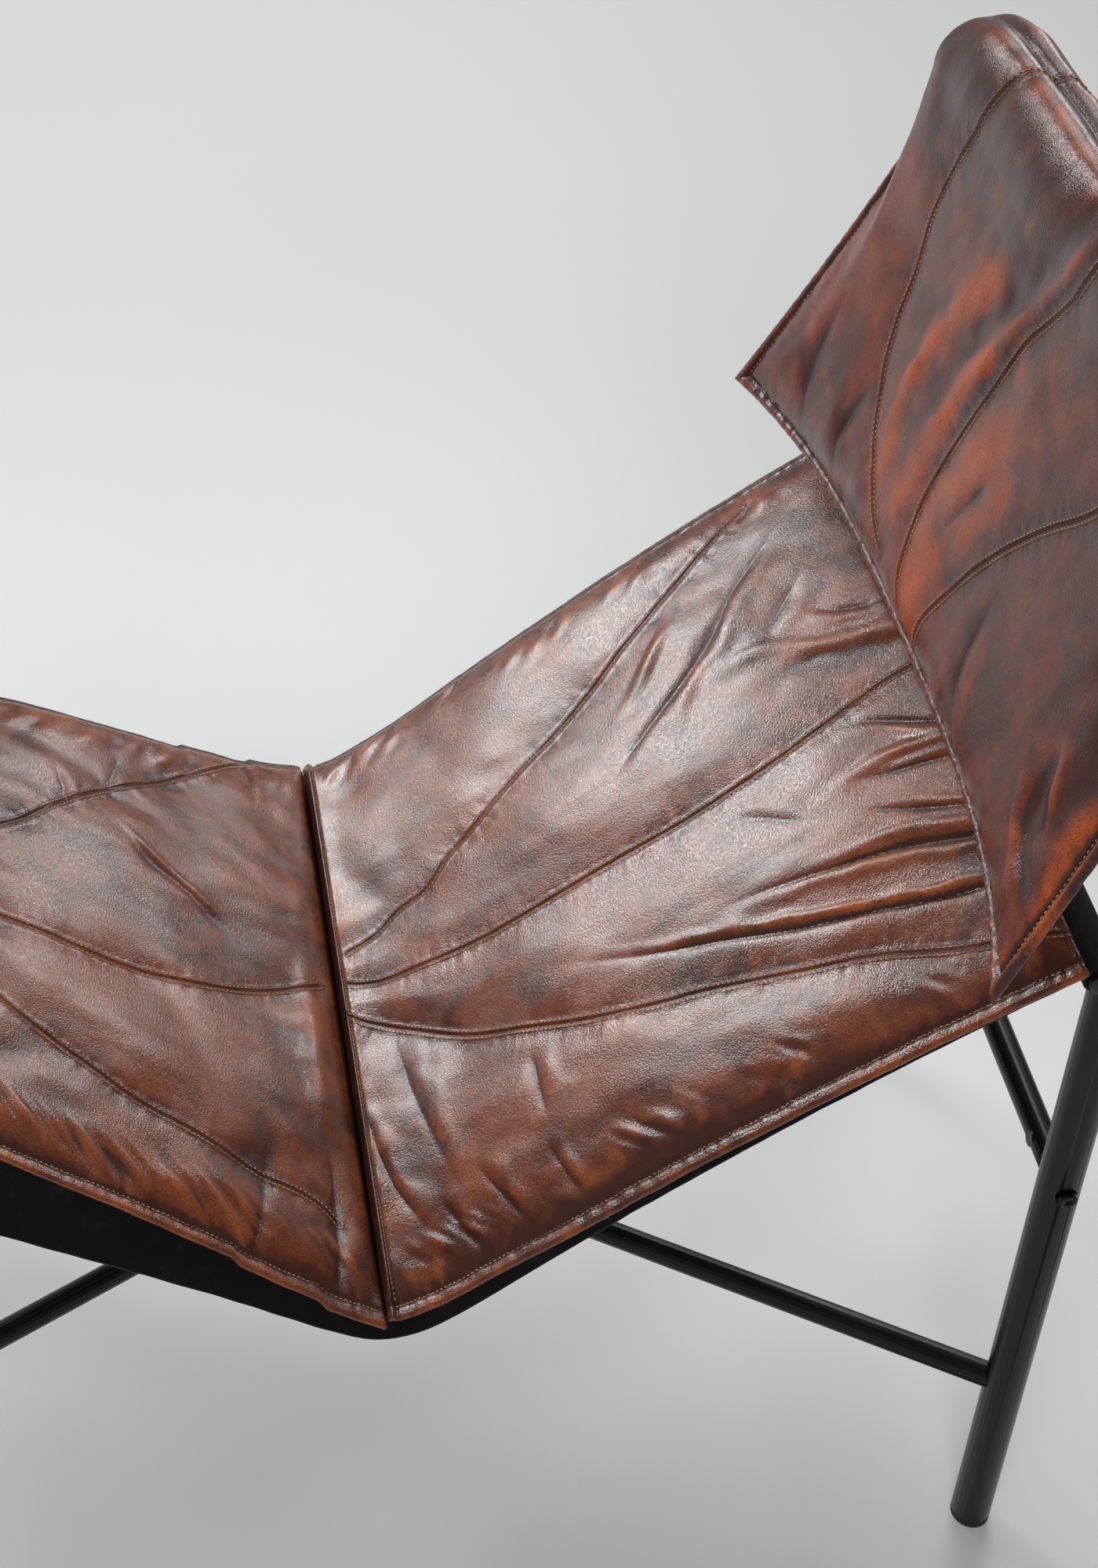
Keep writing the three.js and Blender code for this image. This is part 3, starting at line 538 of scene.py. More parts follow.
class Groups:
    """Shader node groups that several finishes share, each built once."""

    built: dict[str, Tree] = {}

    @classmethod
    def place(cls, tree: Tree, name: str, values: dict) -> bpy.types.Node:
        """Places a group in a material's tree with its own values.

        Args:
            tree: The material's tree.
            name: Name of the group and of the method that builds it.
            values: Value or socket for each input of the group.

        Returns:
            The group's node.
        """
        if name not in cls.built:
            cls.built[name] = getattr(cls, name)()
        return add_node(tree, "ShaderNodeGroup", values, node_tree=cls.built[name])

    @staticmethod
    def start(name: str, inputs: dict[str, str], outputs: dict[str, str]) -> tuple:
        """Makes an empty group with named sockets.

        Args:
            name: Name of the group.
            inputs: Kind of each input socket by name.
            outputs: Kind of each output socket by name.

        Returns:
            The tree, the sockets that it is given and the node for its results.
        """
        tree = bpy.data.node_groups.new(name, "ShaderNodeTree")
        for way, sockets in (("INPUT", inputs), ("OUTPUT", outputs)):
            for socket, kind in sockets.items():
                tree.interface.new_socket(socket, in_out=way, socket_type=f"NodeSocket{kind}")
        return tree, tree.nodes.new("NodeGroupInput").outputs, tree.nodes.new("NodeGroupOutput")

    @classmethod
    def leather_grain(cls) -> Tree:
        """Pebbled leather grain in millimetres: round pebbles, creases between them, soft lumps."""
        tree, given, result = cls.start(
            "leather_grain", {"Vector": "Vector", "Cells": "Float"},
            {"Height": "Float", "Crease": "Float"},
        )
        place = given["Vector"]
        wobble = add_node(tree, "ShaderNodeTexNoise", {"Vector": place, "Scale": 240.0, "Detail": 1.0})
        shift = add_node(tree, "ShaderNodeVectorMath", {0: wobble.outputs["Color"], "Scale": 0.0016},
                         operation="SCALE").outputs[0]
        moved = add_node(tree, "ShaderNodeVectorMath", {0: place, 1: shift}, operation="ADD").outputs[0]
        values = {"Vector": moved, "Scale": given["Cells"]}
        pebble = add_node(tree, "ShaderNodeTexVoronoi", values, feature="F1").outputs[0]
        crease = remap(tree, pebble, 0.42, 0.78)
        lumps = noise(tree, place, 130.0, 0.0)
        height = maths(tree, "MULTIPLY_ADD", lumps, 0.3, maths(tree, "MULTIPLY", pebble, -0.8))
        fill_sockets(result, {"Height": height, "Crease": crease})
        return tree

    @classmethod
    def leather_patina(cls) -> Tree:
        """Aniline leather's colour: dark and plain clouds, painted shade, rubbed rust on ridges, fine
        crackle.
        """
        tree, given, result = cls.start(
            "leather_patina",
            {"Vector": "Vector", "Wear": "Float", "Shade": "Float", "Dark": "Color", "Plain": "Color",
             "Worn": "Color"},
            {"Color": "Color", "Rubbed": "Float"},
        )
        place = given["Vector"]
        cloud = noise(tree, place, 7.0, 7.0, 0.5)
        patch = noise(tree, place, 32.0, 7.0, 0.8)
        depth = maths(tree, "MULTIPLY_ADD", cloud, 0.6, maths(tree, "MULTIPLY", patch, 0.4))
        # Painted shade from the mesh pulls the leather towards its dark colour.
        depth = maths(tree, "MULTIPLY_ADD", given["Shade"], -0.2, depth)
        plain = remap(tree, depth, 0.33, 0.60)
        colour = blend_colour(tree, plain, given["Dark"], given["Plain"])
        rub = maths(tree, "MULTIPLY_ADD", maths(tree, "SUBTRACT", patch, 0.5), 1.3, given["Wear"])
        rubbed = remap(tree, rub, -0.05, 1.2, 0.0, 0.95)
        colour = blend_colour(tree, rubbed, colour, given["Worn"])
        crack = add_node(tree, "ShaderNodeTexVoronoi", {"Vector": place, "Scale": 260.0},
                         feature="DISTANCE_TO_EDGE").outputs[0]
        crack = remap(tree, crack, 0.0, 0.07, 1.0, 0.0)
        dry = maths(tree, "MULTIPLY_ADD", given["Wear"], 0.25, cloud)
        dry = remap(tree, dry, 0.5, 0.72, 0.0, 0.3)
        colour = blend_colour(tree, maths(tree, "MULTIPLY", crack, dry), colour, given["Worn"])
        fill_sockets(result, {"Color": colour, "Rubbed": rubbed})
        return tree

    @classmethod
    def sewn_seam(cls) -> Tree:
        """A sewn seam and rim, from distances in millimetres stored on the mesh.

        The seam is a dark slit with a raised, turned edge on each side of it, and the rim has a
        sewn groove. Edge is the strip along the rim, where the finish rubs off first.
        """
        tree, given, result = cls.start(
            "sewn_seam", {"Offset": "Float", "Near": "Float", "Rim": "Float", "Stitch": "Float"},
            {"Height": "Float", "Slit": "Float", "Edge": "Float"},
        )
        away = maths(tree, "ABSOLUTE", given["Offset"])
        slit = maths(tree, "MULTIPLY", remap(tree, away, 0.1, 0.6, 1.0, 0.0), given["Near"])
        turned = maths(tree, "ABSOLUTE", maths(tree, "SUBTRACT", away, 2.7))
        turned = remap(tree, turned, 0.6, 2.0, 1.0, 0.0)
        turned = maths(tree, "MULTIPLY", turned, given["Near"])
        sewn = maths(tree, "SUBTRACT", given["Rim"], given["Stitch"])
        sewn = maths(tree, "ABSOLUTE", sewn)
        sewn = remap(tree, sewn, 0.1, 1.2, 1.0, 0.0)
        edge = remap(tree, given["Rim"], 2.5, 5.0, 1.0, 0.0)
        deep = maths(tree, "MAXIMUM", slit, maths(tree, "MULTIPLY", sewn, 0.5))
        height = maths(tree, "MULTIPLY_ADD", deep, -0.9, maths(tree, "MULTIPLY", turned, 0.45))
        dark = maths(tree, "MAXIMUM", slit, maths(tree, "MULTIPLY", sewn, 0.6))
        fill_sockets(result, {"Height": height, "Slit": dark, "Edge": edge})
        return tree

    @classmethod
    def dust_specks(cls) -> Tree:
        """A sparse mask of fine specks and handling marks."""
        tree, given, result = cls.start("dust_specks", {"Vector": "Vector"}, {"Mask": "Float"})
        place = given["Vector"]
        speck = remap(tree, noise(tree, place, 900.0, 2.0), 0.68, 0.76)
        haze = remap(tree, noise(tree, place, 14.0, 5.0), 0.45, 0.75, 0.0, 0.5)
        fill_sockets(result, {"Mask": maths(tree, "MAXIMUM", speck, haze)})
        return tree


def blank_material(name: str) -> tuple:
    """Makes a material with a Principled shader.

    Args:
        name: Name of the material.

    Returns:
        The material, its tree, its shader and its Object coordinates.
    """
    material = bpy.data.materials.new(name)
    material.use_nodes = True
    tree = material.node_tree
    shader = tree.nodes["Principled BSDF"]
    place = tree.nodes.new("ShaderNodeTexCoord").outputs["Object"]
    return material, tree, shader, place


@dataclass(frozen=True)
class LeatherFinish:
    """Old waxed leather: painted shade in the hollows, rubbed to rust on the ridges, with a soft gloss."""

    name: str
    dark: tuple[float, float, float] = (0.045, 0.014, 0.009)
    plain: tuple[float, float, float] = (0.175, 0.045, 0.017)
    worn: tuple[float, float, float] = (0.390, 0.105, 0.022)
    slit: tuple[float, float, float] = (0.022, 0.009, 0.006)
    roughness: float = 0.25
    cells: float = 800.0
    relief: float = 0.21
    stitch: float = 8.5
    edge_wear: float = 0.3
    coat: float = 0.14
    coat_roughness: float = 0.16
    specular: float = 0.5

    def material(self) -> Material:
        """Builds the material, which reads the wear, the painted shade and the distances stored on the mesh.
        """
        material, tree, shader, place = blank_material(self.name)
        stored = {
            name: add_node(tree, "ShaderNodeAttribute", attribute_name=name).outputs["Fac"]
            for name in ("wear", "shade", "seam_offset", "seam_near", "rim")
        }
        seam = Groups.place(tree, "sewn_seam", {
            "Offset": stored["seam_offset"], "Near": stored["seam_near"], "Rim": stored["rim"],
            "Stitch": self.stitch,
        })
        wear = maths(tree, "MULTIPLY_ADD", seam.outputs["Edge"], self.edge_wear, stored["wear"])
        patina = Groups.place(tree, "leather_patina", {
            "Vector": place, "Wear": wear, "Shade": stored["shade"], "Dark": opaque(self.dark),
            "Plain": opaque(self.plain), "Worn": opaque(self.worn),
        })
        grain = Groups.place(tree, "leather_grain", {"Vector": place, "Cells": self.cells})
        in_crease = maths(tree, "MULTIPLY", grain.outputs["Crease"], 0.5)
        colour = blend_colour(tree, in_crease, patina.outputs["Color"], opaque(self.dark))
        colour = blend_colour(tree, seam.outputs["Slit"], colour, opaque(self.slit))
        rough = maths(tree, "MULTIPLY_ADD", patina.outputs["Rubbed"], 0.12, self.roughness - 0.1)
        rough = maths(tree, "MULTIPLY_ADD", noise(tree, place, 26.0, 3.0), 0.2, rough)
        height = maths(tree, "MULTIPLY_ADD", grain.outputs["Height"], self.relief, seam.outputs["Height"])
        bump = add_node(tree, "ShaderNodeBump", {"Height": height, "Distance": MM, "Strength": 1.0})
        fill_sockets(shader, {
            "Base Color": colour, "Roughness": rough, "Normal": bump.outputs[0],
            "Coat Weight": self.coat, "Coat Roughness": self.coat_roughness,
            "Specular IOR Level": self.specular,
        })
        return material


@dataclass(frozen=True)
class ThreadFinish:
    """Waxed sewing thread with a fine twist."""

    name: str = "sewing_thread"
    colour: tuple[float, float, float] = (0.64, 0.36, 0.17)
    soiled: tuple[float, float, float] = (0.30, 0.13, 0.06)
    roughness: float = 0.5

    def material(self) -> Material:
        """Builds the material."""
        material, tree, shader, place = blank_material(self.name)
        soil = remap(tree, noise(tree, place, 30.0, 4.0), 0.35, 0.65)
        colour = blend_colour(tree, soil, opaque(self.soiled), opaque(self.colour))
        twist = noise(tree, place, 2400.0, 2.0)
        bump = add_node(tree, "ShaderNodeBump", {"Height": twist, "Distance": 0.0001, "Strength": 0.7})
        fill_sockets(shader, {"Base Color": colour, "Normal": bump.outputs[0], "Roughness": self.roughness})
        return material


@dataclass(frozen=True)
class CanvasFinish:
    """Black cotton canvas: a close plain weave with a dusty, felted face."""

    name: str = "black_canvas_weave"
    colour: tuple[float, float, float] = (0.0085, 0.0085, 0.0090)
    lint: tuple[float, float, float] = (0.030, 0.029, 0.028)
    threads: float = 1250.0
    roughness: float = 0.92
    gloss: float = 0.2
    fuzz: float = 0.08

    def material(self) -> Material:
        """Builds the material, whose weave follows the sheet's own UV map in metres."""
        material, tree, shader, place = blank_material(self.name)
        uv = tree.nodes["Texture Coordinate"].outputs["UV"]
        axes = add_node(tree, "ShaderNodeSeparateXYZ", {0: uv})
        waves = [
            maths(tree, "SINE", maths(tree, "MULTIPLY", axis, self.threads * math.pi))
            for axis in (axes.outputs[0], axes.outputs[1])
        ]
        weave = maths(tree, "MULTIPLY", waves[0], waves[1])
        fuzz = noise(tree, place, 700.0, 4.0)
        height = maths(tree, "ADD", maths(tree, "MULTIPLY", weave, 0.5), fuzz)
        lint = remap(tree, noise(tree, place, 60.0, 6.0, 0.5), 0.5, 0.8, 0.0, 0.5)
        colour = blend_colour(tree, lint, opaque(self.colour), opaque(self.lint))
        bump = add_node(tree, "ShaderNodeBump", {"Height": height, "Distance": 0.0003, "Strength": 0.8})
        fill_sockets(shader, {
            "Base Color": colour, "Normal": bump.outputs[0], "Roughness": self.roughness,
            "Specular IOR Level": self.gloss, "Sheen Weight": self.fuzz,
        })
        return material


@dataclass(frozen=True)
class HardFinish:
    """A hard surface of the frame: powder coat, blackened zinc or plastic."""

    name: str
    colour: tuple[float, float, float]
    dusty: tuple[float, float, float]
    roughness: float
    metallic: float
    texture: float
    relief: float
    gloss: float = 0.5

    def material(self) -> Material:
        """Builds the material: a fine orange-peel relief, with handling marks in its gloss."""
        material, tree, shader, place = blank_material(self.name)
        dust = Groups.place(tree, "dust_specks", {"Vector": place}).outputs["Mask"]
        soiled = maths(tree, "MULTIPLY", dust, 0.5)
        colour = blend_colour(tree, soiled, opaque(self.colour), opaque(self.dusty))
        rough = maths(tree, "MULTIPLY_ADD", dust, 0.14, self.roughness)
        peel = noise(tree, place, self.texture, 3.0)
        bump = add_node(tree, "ShaderNodeBump", {"Height": peel, "Distance": self.relief, "Strength": 0.6})
        fill_sockets(shader, {
            "Base Color": colour, "Roughness": rough, "Normal": bump.outputs[0],
            "Metallic": self.metallic, "Specular IOR Level": self.gloss,
        })
        return material


class Finish(Enum):
    """The finishes of the chair, by the record's material slot."""

    POWDER_COAT = HardFinish("powder_coat_black", (0.0050, 0.0052, 0.0048), (0.015, 0.015, 0.014),
                             0.30, 0.0, 620.0, 0.00018, gloss=0.32)
    BLACK_ZINC = HardFinish("black_zinc_steel", (0.020, 0.020, 0.021), (0.060, 0.058, 0.055),
                            0.36, 0.85, 900.0, 0.00008)
    BLACK_PLASTIC = HardFinish("black_moulded_plastic", (0.010, 0.010, 0.010), (0.030, 0.030, 0.030),
                               0.50, 0.0, 1100.0, 0.00012)
    PAD_LEATHER = LeatherFinish("pad_leather_brown")
    HEAD_LEATHER = LeatherFinish("head_leather_dark", dark=(0.050, 0.018, 0.015),
                                 plain=(0.165, 0.033, 0.016), worn=(0.480, 0.088, 0.012), roughness=0.26,
                                 stitch=8.0, edge_wear=0.05, coat=0.08, specular=0.40)
    BLACK_CANVAS = CanvasFinish()
    THREAD = ThreadFinish()

    def material(self) -> Material:
        """The finish's material, built when it is first asked for."""
        made = bpy.data.materials.get(self.value.name)
        return made or self.value.material()

    def slot(self) -> str:
        """The record's slot that the finish belongs to."""
        return "pad_leather" if self is Finish.THREAD else self.name.lower()


# Line of the sling.

@dataclass
class SlingTrack:
    """Side view of the sling's upper face, from the foot bar's sleeve to the sling bar's.

    Two straight runs, each bowed by 4 b t (1 - t), meet in a rounded valley: their height is
    (a + b) / 2 + hypot((a - b) / 2, round). Before them the line goes round the foot bar.
    """

    sleeve_radius: float = 12.7 * MM
    sleeve_gap: float = 0.5 * MM
    valley: tuple[float, float] = (-17 * MM, 292 * MM)
    valley_round: float = 30 * MM
    seat_bow: float = 12 * MM
    back_bow: float = 17 * MM
    split: float = -25 * MM
    wrap_share: float = 0.8
    step: float = 1 * MM
    x: Array = field(init=False)
    z: Array = field(init=False)
    s: Array = field(init=False)
    across: Array = field(init=False)
    upward: Array = field(init=False)
    flat_from: int = field(init=False)

    def __post_init__(self) -> None:
        """Works the line out from the bars of the frame."""
        seat = self.run(self.bar("foot_bar"), self.seat_bow)
        back = self.run(self.bar("sling_bar"), self.back_bow)
        xs = np.arange(seat["end"][0], back["end"][0], self.step)
        a, b = (self.run_height(each, xs) for each in (seat, back))
        fade = smooth_step(1, 0, np.abs(a - b) / (self.valley_round * 12))
        zs = (a + b) / 2 + np.hypot((a - b) / 2, self.valley_round * fade)
        radius = self.sleeve_radius + self.sleeve_gap
        turns = np.arange(seat["lean"] - self.wrap_share * math.pi, seat["lean"], self.step / radius)
        bar = self.bar("foot_bar")
        self.x = np.concatenate([bar[0] + radius * np.sin(turns), xs])
        self.z = np.concatenate([bar[1] + radius * np.cos(turns), zs])
        along = np.concatenate([[0], np.cumsum(np.hypot(np.diff(self.x), np.diff(self.z)))])
        flat = len(turns)
        self.s = along - np.interp(self.split, self.x[flat:], along[flat:])
        dx, dz = np.gradient(self.x, self.s), np.gradient(self.z, self.s)
        size = np.hypot(dx, dz)
        self.across, self.upward = -dz / size, dx / size
        self.flat_from = flat

    @staticmethod
    def bar(node: str) -> tuple[float, float]:
        """The middle of a bar in side view, from the frame."""
        low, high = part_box(node)
        return (low.x + high.x) / 2, (low.z + high.z) / 2

    def run(self, bar: tuple[float, float], bow: float) -> dict:
        """Works out one run of the sling.

        Args:
            bar: The middle of its bar in side view.
            bow: How far its middle stands off a straight line.

        Returns:
            Its direction, its lean, its bow, its span and where it meets the sleeve on its bar.
        """
        towards = 1 if bar[0] > self.valley[0] else -1
        span = abs(bar[0] - self.valley[0])
        lean = math.atan((bar[1] - self.valley[1] - 4 * bow) / span)
        end = (
            bar[0] - towards * self.sleeve_radius * math.sin(lean),
            bar[1] + self.sleeve_radius * math.cos(lean),
        )
        return {"towards": towards, "lean": lean, "end": end, "bow": bow,
                "span": abs(end[0] - self.valley[0])}

    def run_height(self, run: dict, x: Array) -> Array:
        """Height of a run at x, straight but for its bow."""
        share = (x - self.valley[0]) * run["towards"] / run["span"]
        straight = self.valley[1] + share * (run["end"][1] - self.valley[1])
        return straight + 4 * run["bow"] * share * (1 - share)

    def lifted(self, s: Array, y: Array, height: Array) -> Array:
        """Points at places along and across the sling, lifted along its normal."""
        x = np.interp(s, self.s, self.x) + np.interp(s, self.s, self.across) * height
        z = np.interp(s, self.s, self.z) + np.interp(s, self.s, self.upward) * height
        return np.stack([x, y, z], axis=-1)


TRACK = SlingTrack()


# Simulated leather.

@dataclass(frozen=True)
class LeatherSettle:
    """A short cloth simulation of leather that is cut a little larger than the pad under it."""

    frames: int = 18
    spacing: float = 6 * MM
    spare_along: float = 0.004
    spare_across: float = 0.03
    pressure: float = 1.8
    bending: float = 3.0
    cap: float = 4.0 * MM
    levels: int = 20
    mass: float = 0.3
    tension: float = 30.0
    shear: float = 20.0
    damping: float = 10.0
    air_damping: float = 2.0
    quality: int = 6

    def moved(self, points: Array, held: Array) -> Array:
        """Simulates a sheet of leather and returns how far each of its points moves.

        Args:
            points: Grid of points, rows by columns by 3.
            held: How firmly each point is sewn down, from 0 to 1.

        Returns:
            The way that each point moves, squeezed to the cap: d / sqrt(1 + (d / cap)^2).
        """
        sheet = mesh_object("leather_sheet", points, grid_faces(*held.shape), Finish.BLACK_CANVAS.material())
        group = sheet.vertex_groups.new(name="sewn")
        firm = np.round(held * self.levels).astype(int).ravel()
        for level in np.unique(firm):
            group.add(np.flatnonzero(firm == level).tolist(), float(level / self.levels), "REPLACE")
        cloth = sheet.modifiers.new("settle", "CLOTH")
        settings = cloth.settings
        settings.vertex_group_mass = "sewn"
        settings.pin_stiffness = 1.0
        settings.quality = self.quality
        settings.mass = self.mass
        settings.air_damping = self.air_damping
        sheet.shape_key_add(name="laid")
        cut = sheet.shape_key_add(name="cut")
        spare = (1 + self.spare_along, 1 + self.spare_across, 1 + self.spare_along)
        cut.data.foreach_set("co", (points * spare).ravel())
        settings.rest_shape_key = cut
        settings.tension_stiffness = settings.compression_stiffness = self.tension
        settings.tension_damping = settings.compression_damping = settings.shear_damping = self.damping
        settings.shear_stiffness = self.shear
        settings.bending_stiffness = self.bending
        settings.use_pressure = True
        settings.uniform_pressure_force = self.pressure
        settings.effector_weights.gravity = 0
        cloth.collision_settings.use_collision = False
        cloth.point_cache.frame_end = self.frames
        for frame_number in range(1, self.frames + 1):
            bpy.context.scene.frame_set(frame_number)
        settled = sheet.evaluated_get(bpy.context.evaluated_depsgraph_get()).to_mesh()
        places = np.zeros(points.size)
        settled.vertices.foreach_get("co", places)
        bpy.data.objects.remove(sheet)
        bpy.context.scene.frame_set(1)
        way = places.reshape(points.shape) - points
        far = np.linalg.norm(way, axis=2, keepdims=True)
        return way / np.sqrt(1 + (far / self.cap) ** 2)


def between(grid: Array, row: Array, column: Array) -> Array:
    """A grid's values between its four nearest points, straight along rows and columns.

    Args:
        grid: Values, as rows by columns by numbers.
        row: Row places wanted, counted in the grid's rows.
        column: Column places wanted, of a shape that goes with the rows'.

    Returns:
        The values at every wanted place.
    """
    r = np.clip(row.astype(int), 0, grid.shape[0] - 2)
    c = np.clip(column.astype(int), 0, grid.shape[1] - 2)
    down, across = (row - r)[..., None], (column - c)[..., None]
    first = grid[r, c] * (1 - down) + grid[r + 1, c] * down
    last = grid[r, c + 1] * (1 - down) + grid[r + 1, c + 1] * down
    return first * (1 - across) + last * across


# Quilted covers.

@dataclass(frozen=True)
class Seam:
    """A sewn seam, by pixels of the photograph and by places past its frame.

    Pixels come first. Each place is along and across the cover, before or after the pixels.
    """

    pixels: Pixels
    before: tuple[tuple[float, float], ...] = ()
    after: tuple[tuple[float, float], ...] = ()


@dataclass(frozen=True)
class Fold:
    """A crease or ridge in the leather, in millimetres: how high, how wide, the ridge beside it.

    A crease has a height below 0. An end that is open runs out of the cover without fading.
    """

    pixels: Pixels
    height: float
    width: float
    beside: float = 0.0
    shift: float = 0.0
    open_start: bool = False
    open_end: bool = False


@dataclass(frozen=True)
class Rubbing:
    """A streak where the leather's finish has rubbed off or darkened, by the photograph."""

    pixels: Pixels
    width: float
    wear: float


@dataclass
class Cover:
    """A padded leather cover with sewn seams, as a displaced grid closed by a rolled rim.

    Its rows run along it and its columns across it. Subclasses give the surface and its relief.
    """

    name: str
    finish: Finish
    seed: int
    body: str = BODY
    fill: float = 0.6
    step: float = 1.7 * MM
    fine: float = 1.0 * MM
    rim_zone: float = 14 * MM
    seams: tuple[Seam, ...] = ()
    folds: tuple[Fold, ...] = ()
    rubbings: tuple[Rubbing, ...] = ()
    rim_radius: float = 2.3 * MM
    groove: float = 0.18 * MM
    groove_width: float = 1.4 * MM
    seam_dip: float = 2.6 * MM
    seam_round: float = 4.0 * MM
    seam_reach: float = 18 * MM
    seam_ridge: float = 0.42 * MM
    seam_ridge_at: float = 3.4 * MM
    pucker: float = 0.6 * MM
    pucker_reach: float = 9 * MM
    stitch_gap: float = 2.7 * MM
    settle: LeatherSettle = LeatherSettle()
    rim_stitch: float = 8.5 * MM
    rim_wave: float = 1.3 * MM
    rim_steps: Pixels = ()
    rim_step: float = 4.5 * MM
    crease_depth: float = 1.6 * MM
    seam_ridge_width: float = 1.6 * MM
    pucker_size: float = 9 * MM
    sewn_width: float = 3.5 * MM
    rim_groove: float = 1.3 * MM
    rim_groove_width: float = 2.2 * MM
    fold_wave: float = 28 * MM
    fold_wander: float = 0.35
    fold_ease_share: float = 0.45
    open_ease_share: float = 0.7
    rub_broad: float = 0.05
    rub_tight: float = 0.35
    u: Array = field(init=False)
    v: Array = field(init=False)
    rows: Array = field(init=False)
    shares: Array = field(init=False)
    surface: Array = field(init=False)
    seam_offset: Array = field(init=False)
    seam_mask: Array = field(init=False)

    def half(self, u: Array) -> Array:
        """Half the width of the cover at places along it."""
        raise NotImplementedError

    def trace(self, pixels: Pixels) -> Array:
        """Places along and across the cover where pixels of the photograph lie."""
        raise NotImplementedError

    def lay_grid(self, start: float, end: float) -> None:
        """Lays out the rows and columns between two places along the cover."""
        self.rows = start + spaced(end - start, self.step, self.rim_zone, self.fine)
        widest = float(self.half(self.rows).max())
        self.shares = spaced(2 * widest, self.step, self.rim_zone, self.fine) / widest - 1
        self.u = np.repeat(self.rows[:, None], len(self.shares), axis=1)
        self.v = self.half(self.rows)[:, None] * self.shares[None, :]

    def waver(self) -> Array:
        """How far each point stands out sideways, since the rim is sewn a little unevenly."""
        wave = Ripple(self.seed + 60)
        broad, tight = (wave.at(self.u, self.u * 0, size) for size in (75 * MM, 27 * MM))
        out = self.rim_wave * (broad + 0.45 * tight)
        for pixel in self.rim_steps:
            place = self.trace((pixel,))[0][0]
            out += self.rim_step * smooth_step(place - 4 * MM, place + 4 * MM, self.u)
        return out * np.sign(self.shares) * np.abs(self.shares) ** 8

    def line_of(self, mark: Seam | Fold | Rubbing) -> Array:
        """The smooth line of a seam, fold or streak on the cover."""
        points = [self.trace(mark.pixels)]
        if isinstance(mark, Seam):
            points = [np.array(mark.before).reshape(-1, 2), *points, np.array(mark.after).reshape(-1, 2)]
        return smooth_line(np.vstack(points), 6 * MM)

    def seam_relief(self) -> tuple[Array, Array]:
        """Relief of the seams: a broad dip, a groove, ridges beside it and puckers across it.

        Returns:
            The height at each grid point, and how near each is to a seam from 0 to 1.
        """
        height = np.zeros(self.u.shape)
        nearness = np.zeros(self.u.shape)
        self.seam_offset = np.full(self.u.shape, 1.0)
        reach = 4 * self.seam_reach
        dip = np.zeros(self.u.shape)
        for number, seam in enumerate(self.seams):
            line = self.line_of(seam)
            found = distance_to(self.u, self.v, line, reach)
            side = np.where(found.offset > 0, 1.0, -1.0)
            soft = np.exp(-np.hypot(found.away, self.seam_round) / self.seam_reach)
            dip = np.maximum(dip, soft * (found.away < reach))
            height -= self.groove * bell(found.away, self.groove_width)
            height += self.seam_ridge * bell(found.away - self.seam_ridge_at, self.seam_ridge_width)
            ripple = Ripple(self.seed + 10 + number)
            wave = ripple.at(found.along + side * 0.3, found.away, self.pucker_size, 3.0)
            wave += 0.6 * ripple.at(found.along + side * 0.7, found.away, self.pucker_size / 2, 3.0)
            near = np.exp(-found.away / self.pucker_reach) * smooth_step(1 * MM, 6 * MM, found.away)
            height += self.pucker * wave * near * (found.away < reach)
            nearness = np.maximum(nearness, bell(found.away, 5 * MM))
            closer = found.away < np.abs(self.seam_offset)
            self.seam_offset = np.where(closer, found.offset, self.seam_offset)
        return height - self.seam_dip * dip, nearness

    def settled(self, held: Array) -> Array:
        """Lets the leather settle on the padding, and returns how far it rises off the surface.

        The simulation runs on a coarser grid, and its moves are softened and laid on the fine one.

        Args:
            held: How firmly each point of the grid is sewn down, from 0 to 1.

        Returns:
            The rise along the surface's normal at each point.
        """
        rows, columns = self.u.shape
        length = float(self.rows[-1] - self.rows[0])
        width = 2 * float(self.half(self.rows).max())
        along = np.linspace(0, length, round(length / self.settle.spacing)) + self.rows[0]
        across = np.linspace(self.shares[0], self.shares[-1], round(width / self.settle.spacing))
        row = np.interp(along, self.rows, np.arange(rows))[:, None]
        column = np.interp(across, self.shares, np.arange(columns))[None, :]
        firm = between(held[:, :, None], row, column)[:, :, 0]
        way = self.settle.moved(between(self.surface, row, column), firm)
        row = np.interp(self.rows, along, np.arange(len(along)))[:, None]
        column = np.interp(self.shares, across, np.arange(len(across)))[None, :]
        fine = between(way, row, column)
        rise = (fine * grid_normals(self.surface)).sum(axis=2)
        rise = blurred(rise, 3) * (1 - held)
        log.info("%s: leather moved %.1f to %.1f mm", self.name, rise.min() / MM, rise.max() / MM)
        return rise

    def store(self, cover: Piece, values: dict[str, tuple[Array, float]], rings: int) -> None:
        """Stores values on a cover: its grid's, its border's on the rim's rings, one on the rest.

        Args:
            cover: The finished cover.
            values: The grid's values and the one for the under side, by name.
            rings: How many rings the rim has.
        """
        count = len(cover.data.vertices)
        row, column = border(*self.u.shape)
        for name, (grid, under) in values.items():
            whole = np.full(count, under)
            known = np.concatenate([grid.ravel(), np.tile(grid[row, column], rings)])
            whole[:len(known)] = known
            give_values(cover, name, whole)

    def seam_values(self, side: Array) -> dict[str, tuple[Array, float]]:
        """The distances in millimetres that the leather's material reads."""
        offset = np.clip(self.seam_offset / MM, -12, 12)
        near = smooth_step(8, 6, np.abs(offset))
        return {
            "seam_offset": (offset, 12.0),
            "seam_near": (near, 0.0),
            "rim": (np.clip(side / MM, 0, 30), 0.0),
        }

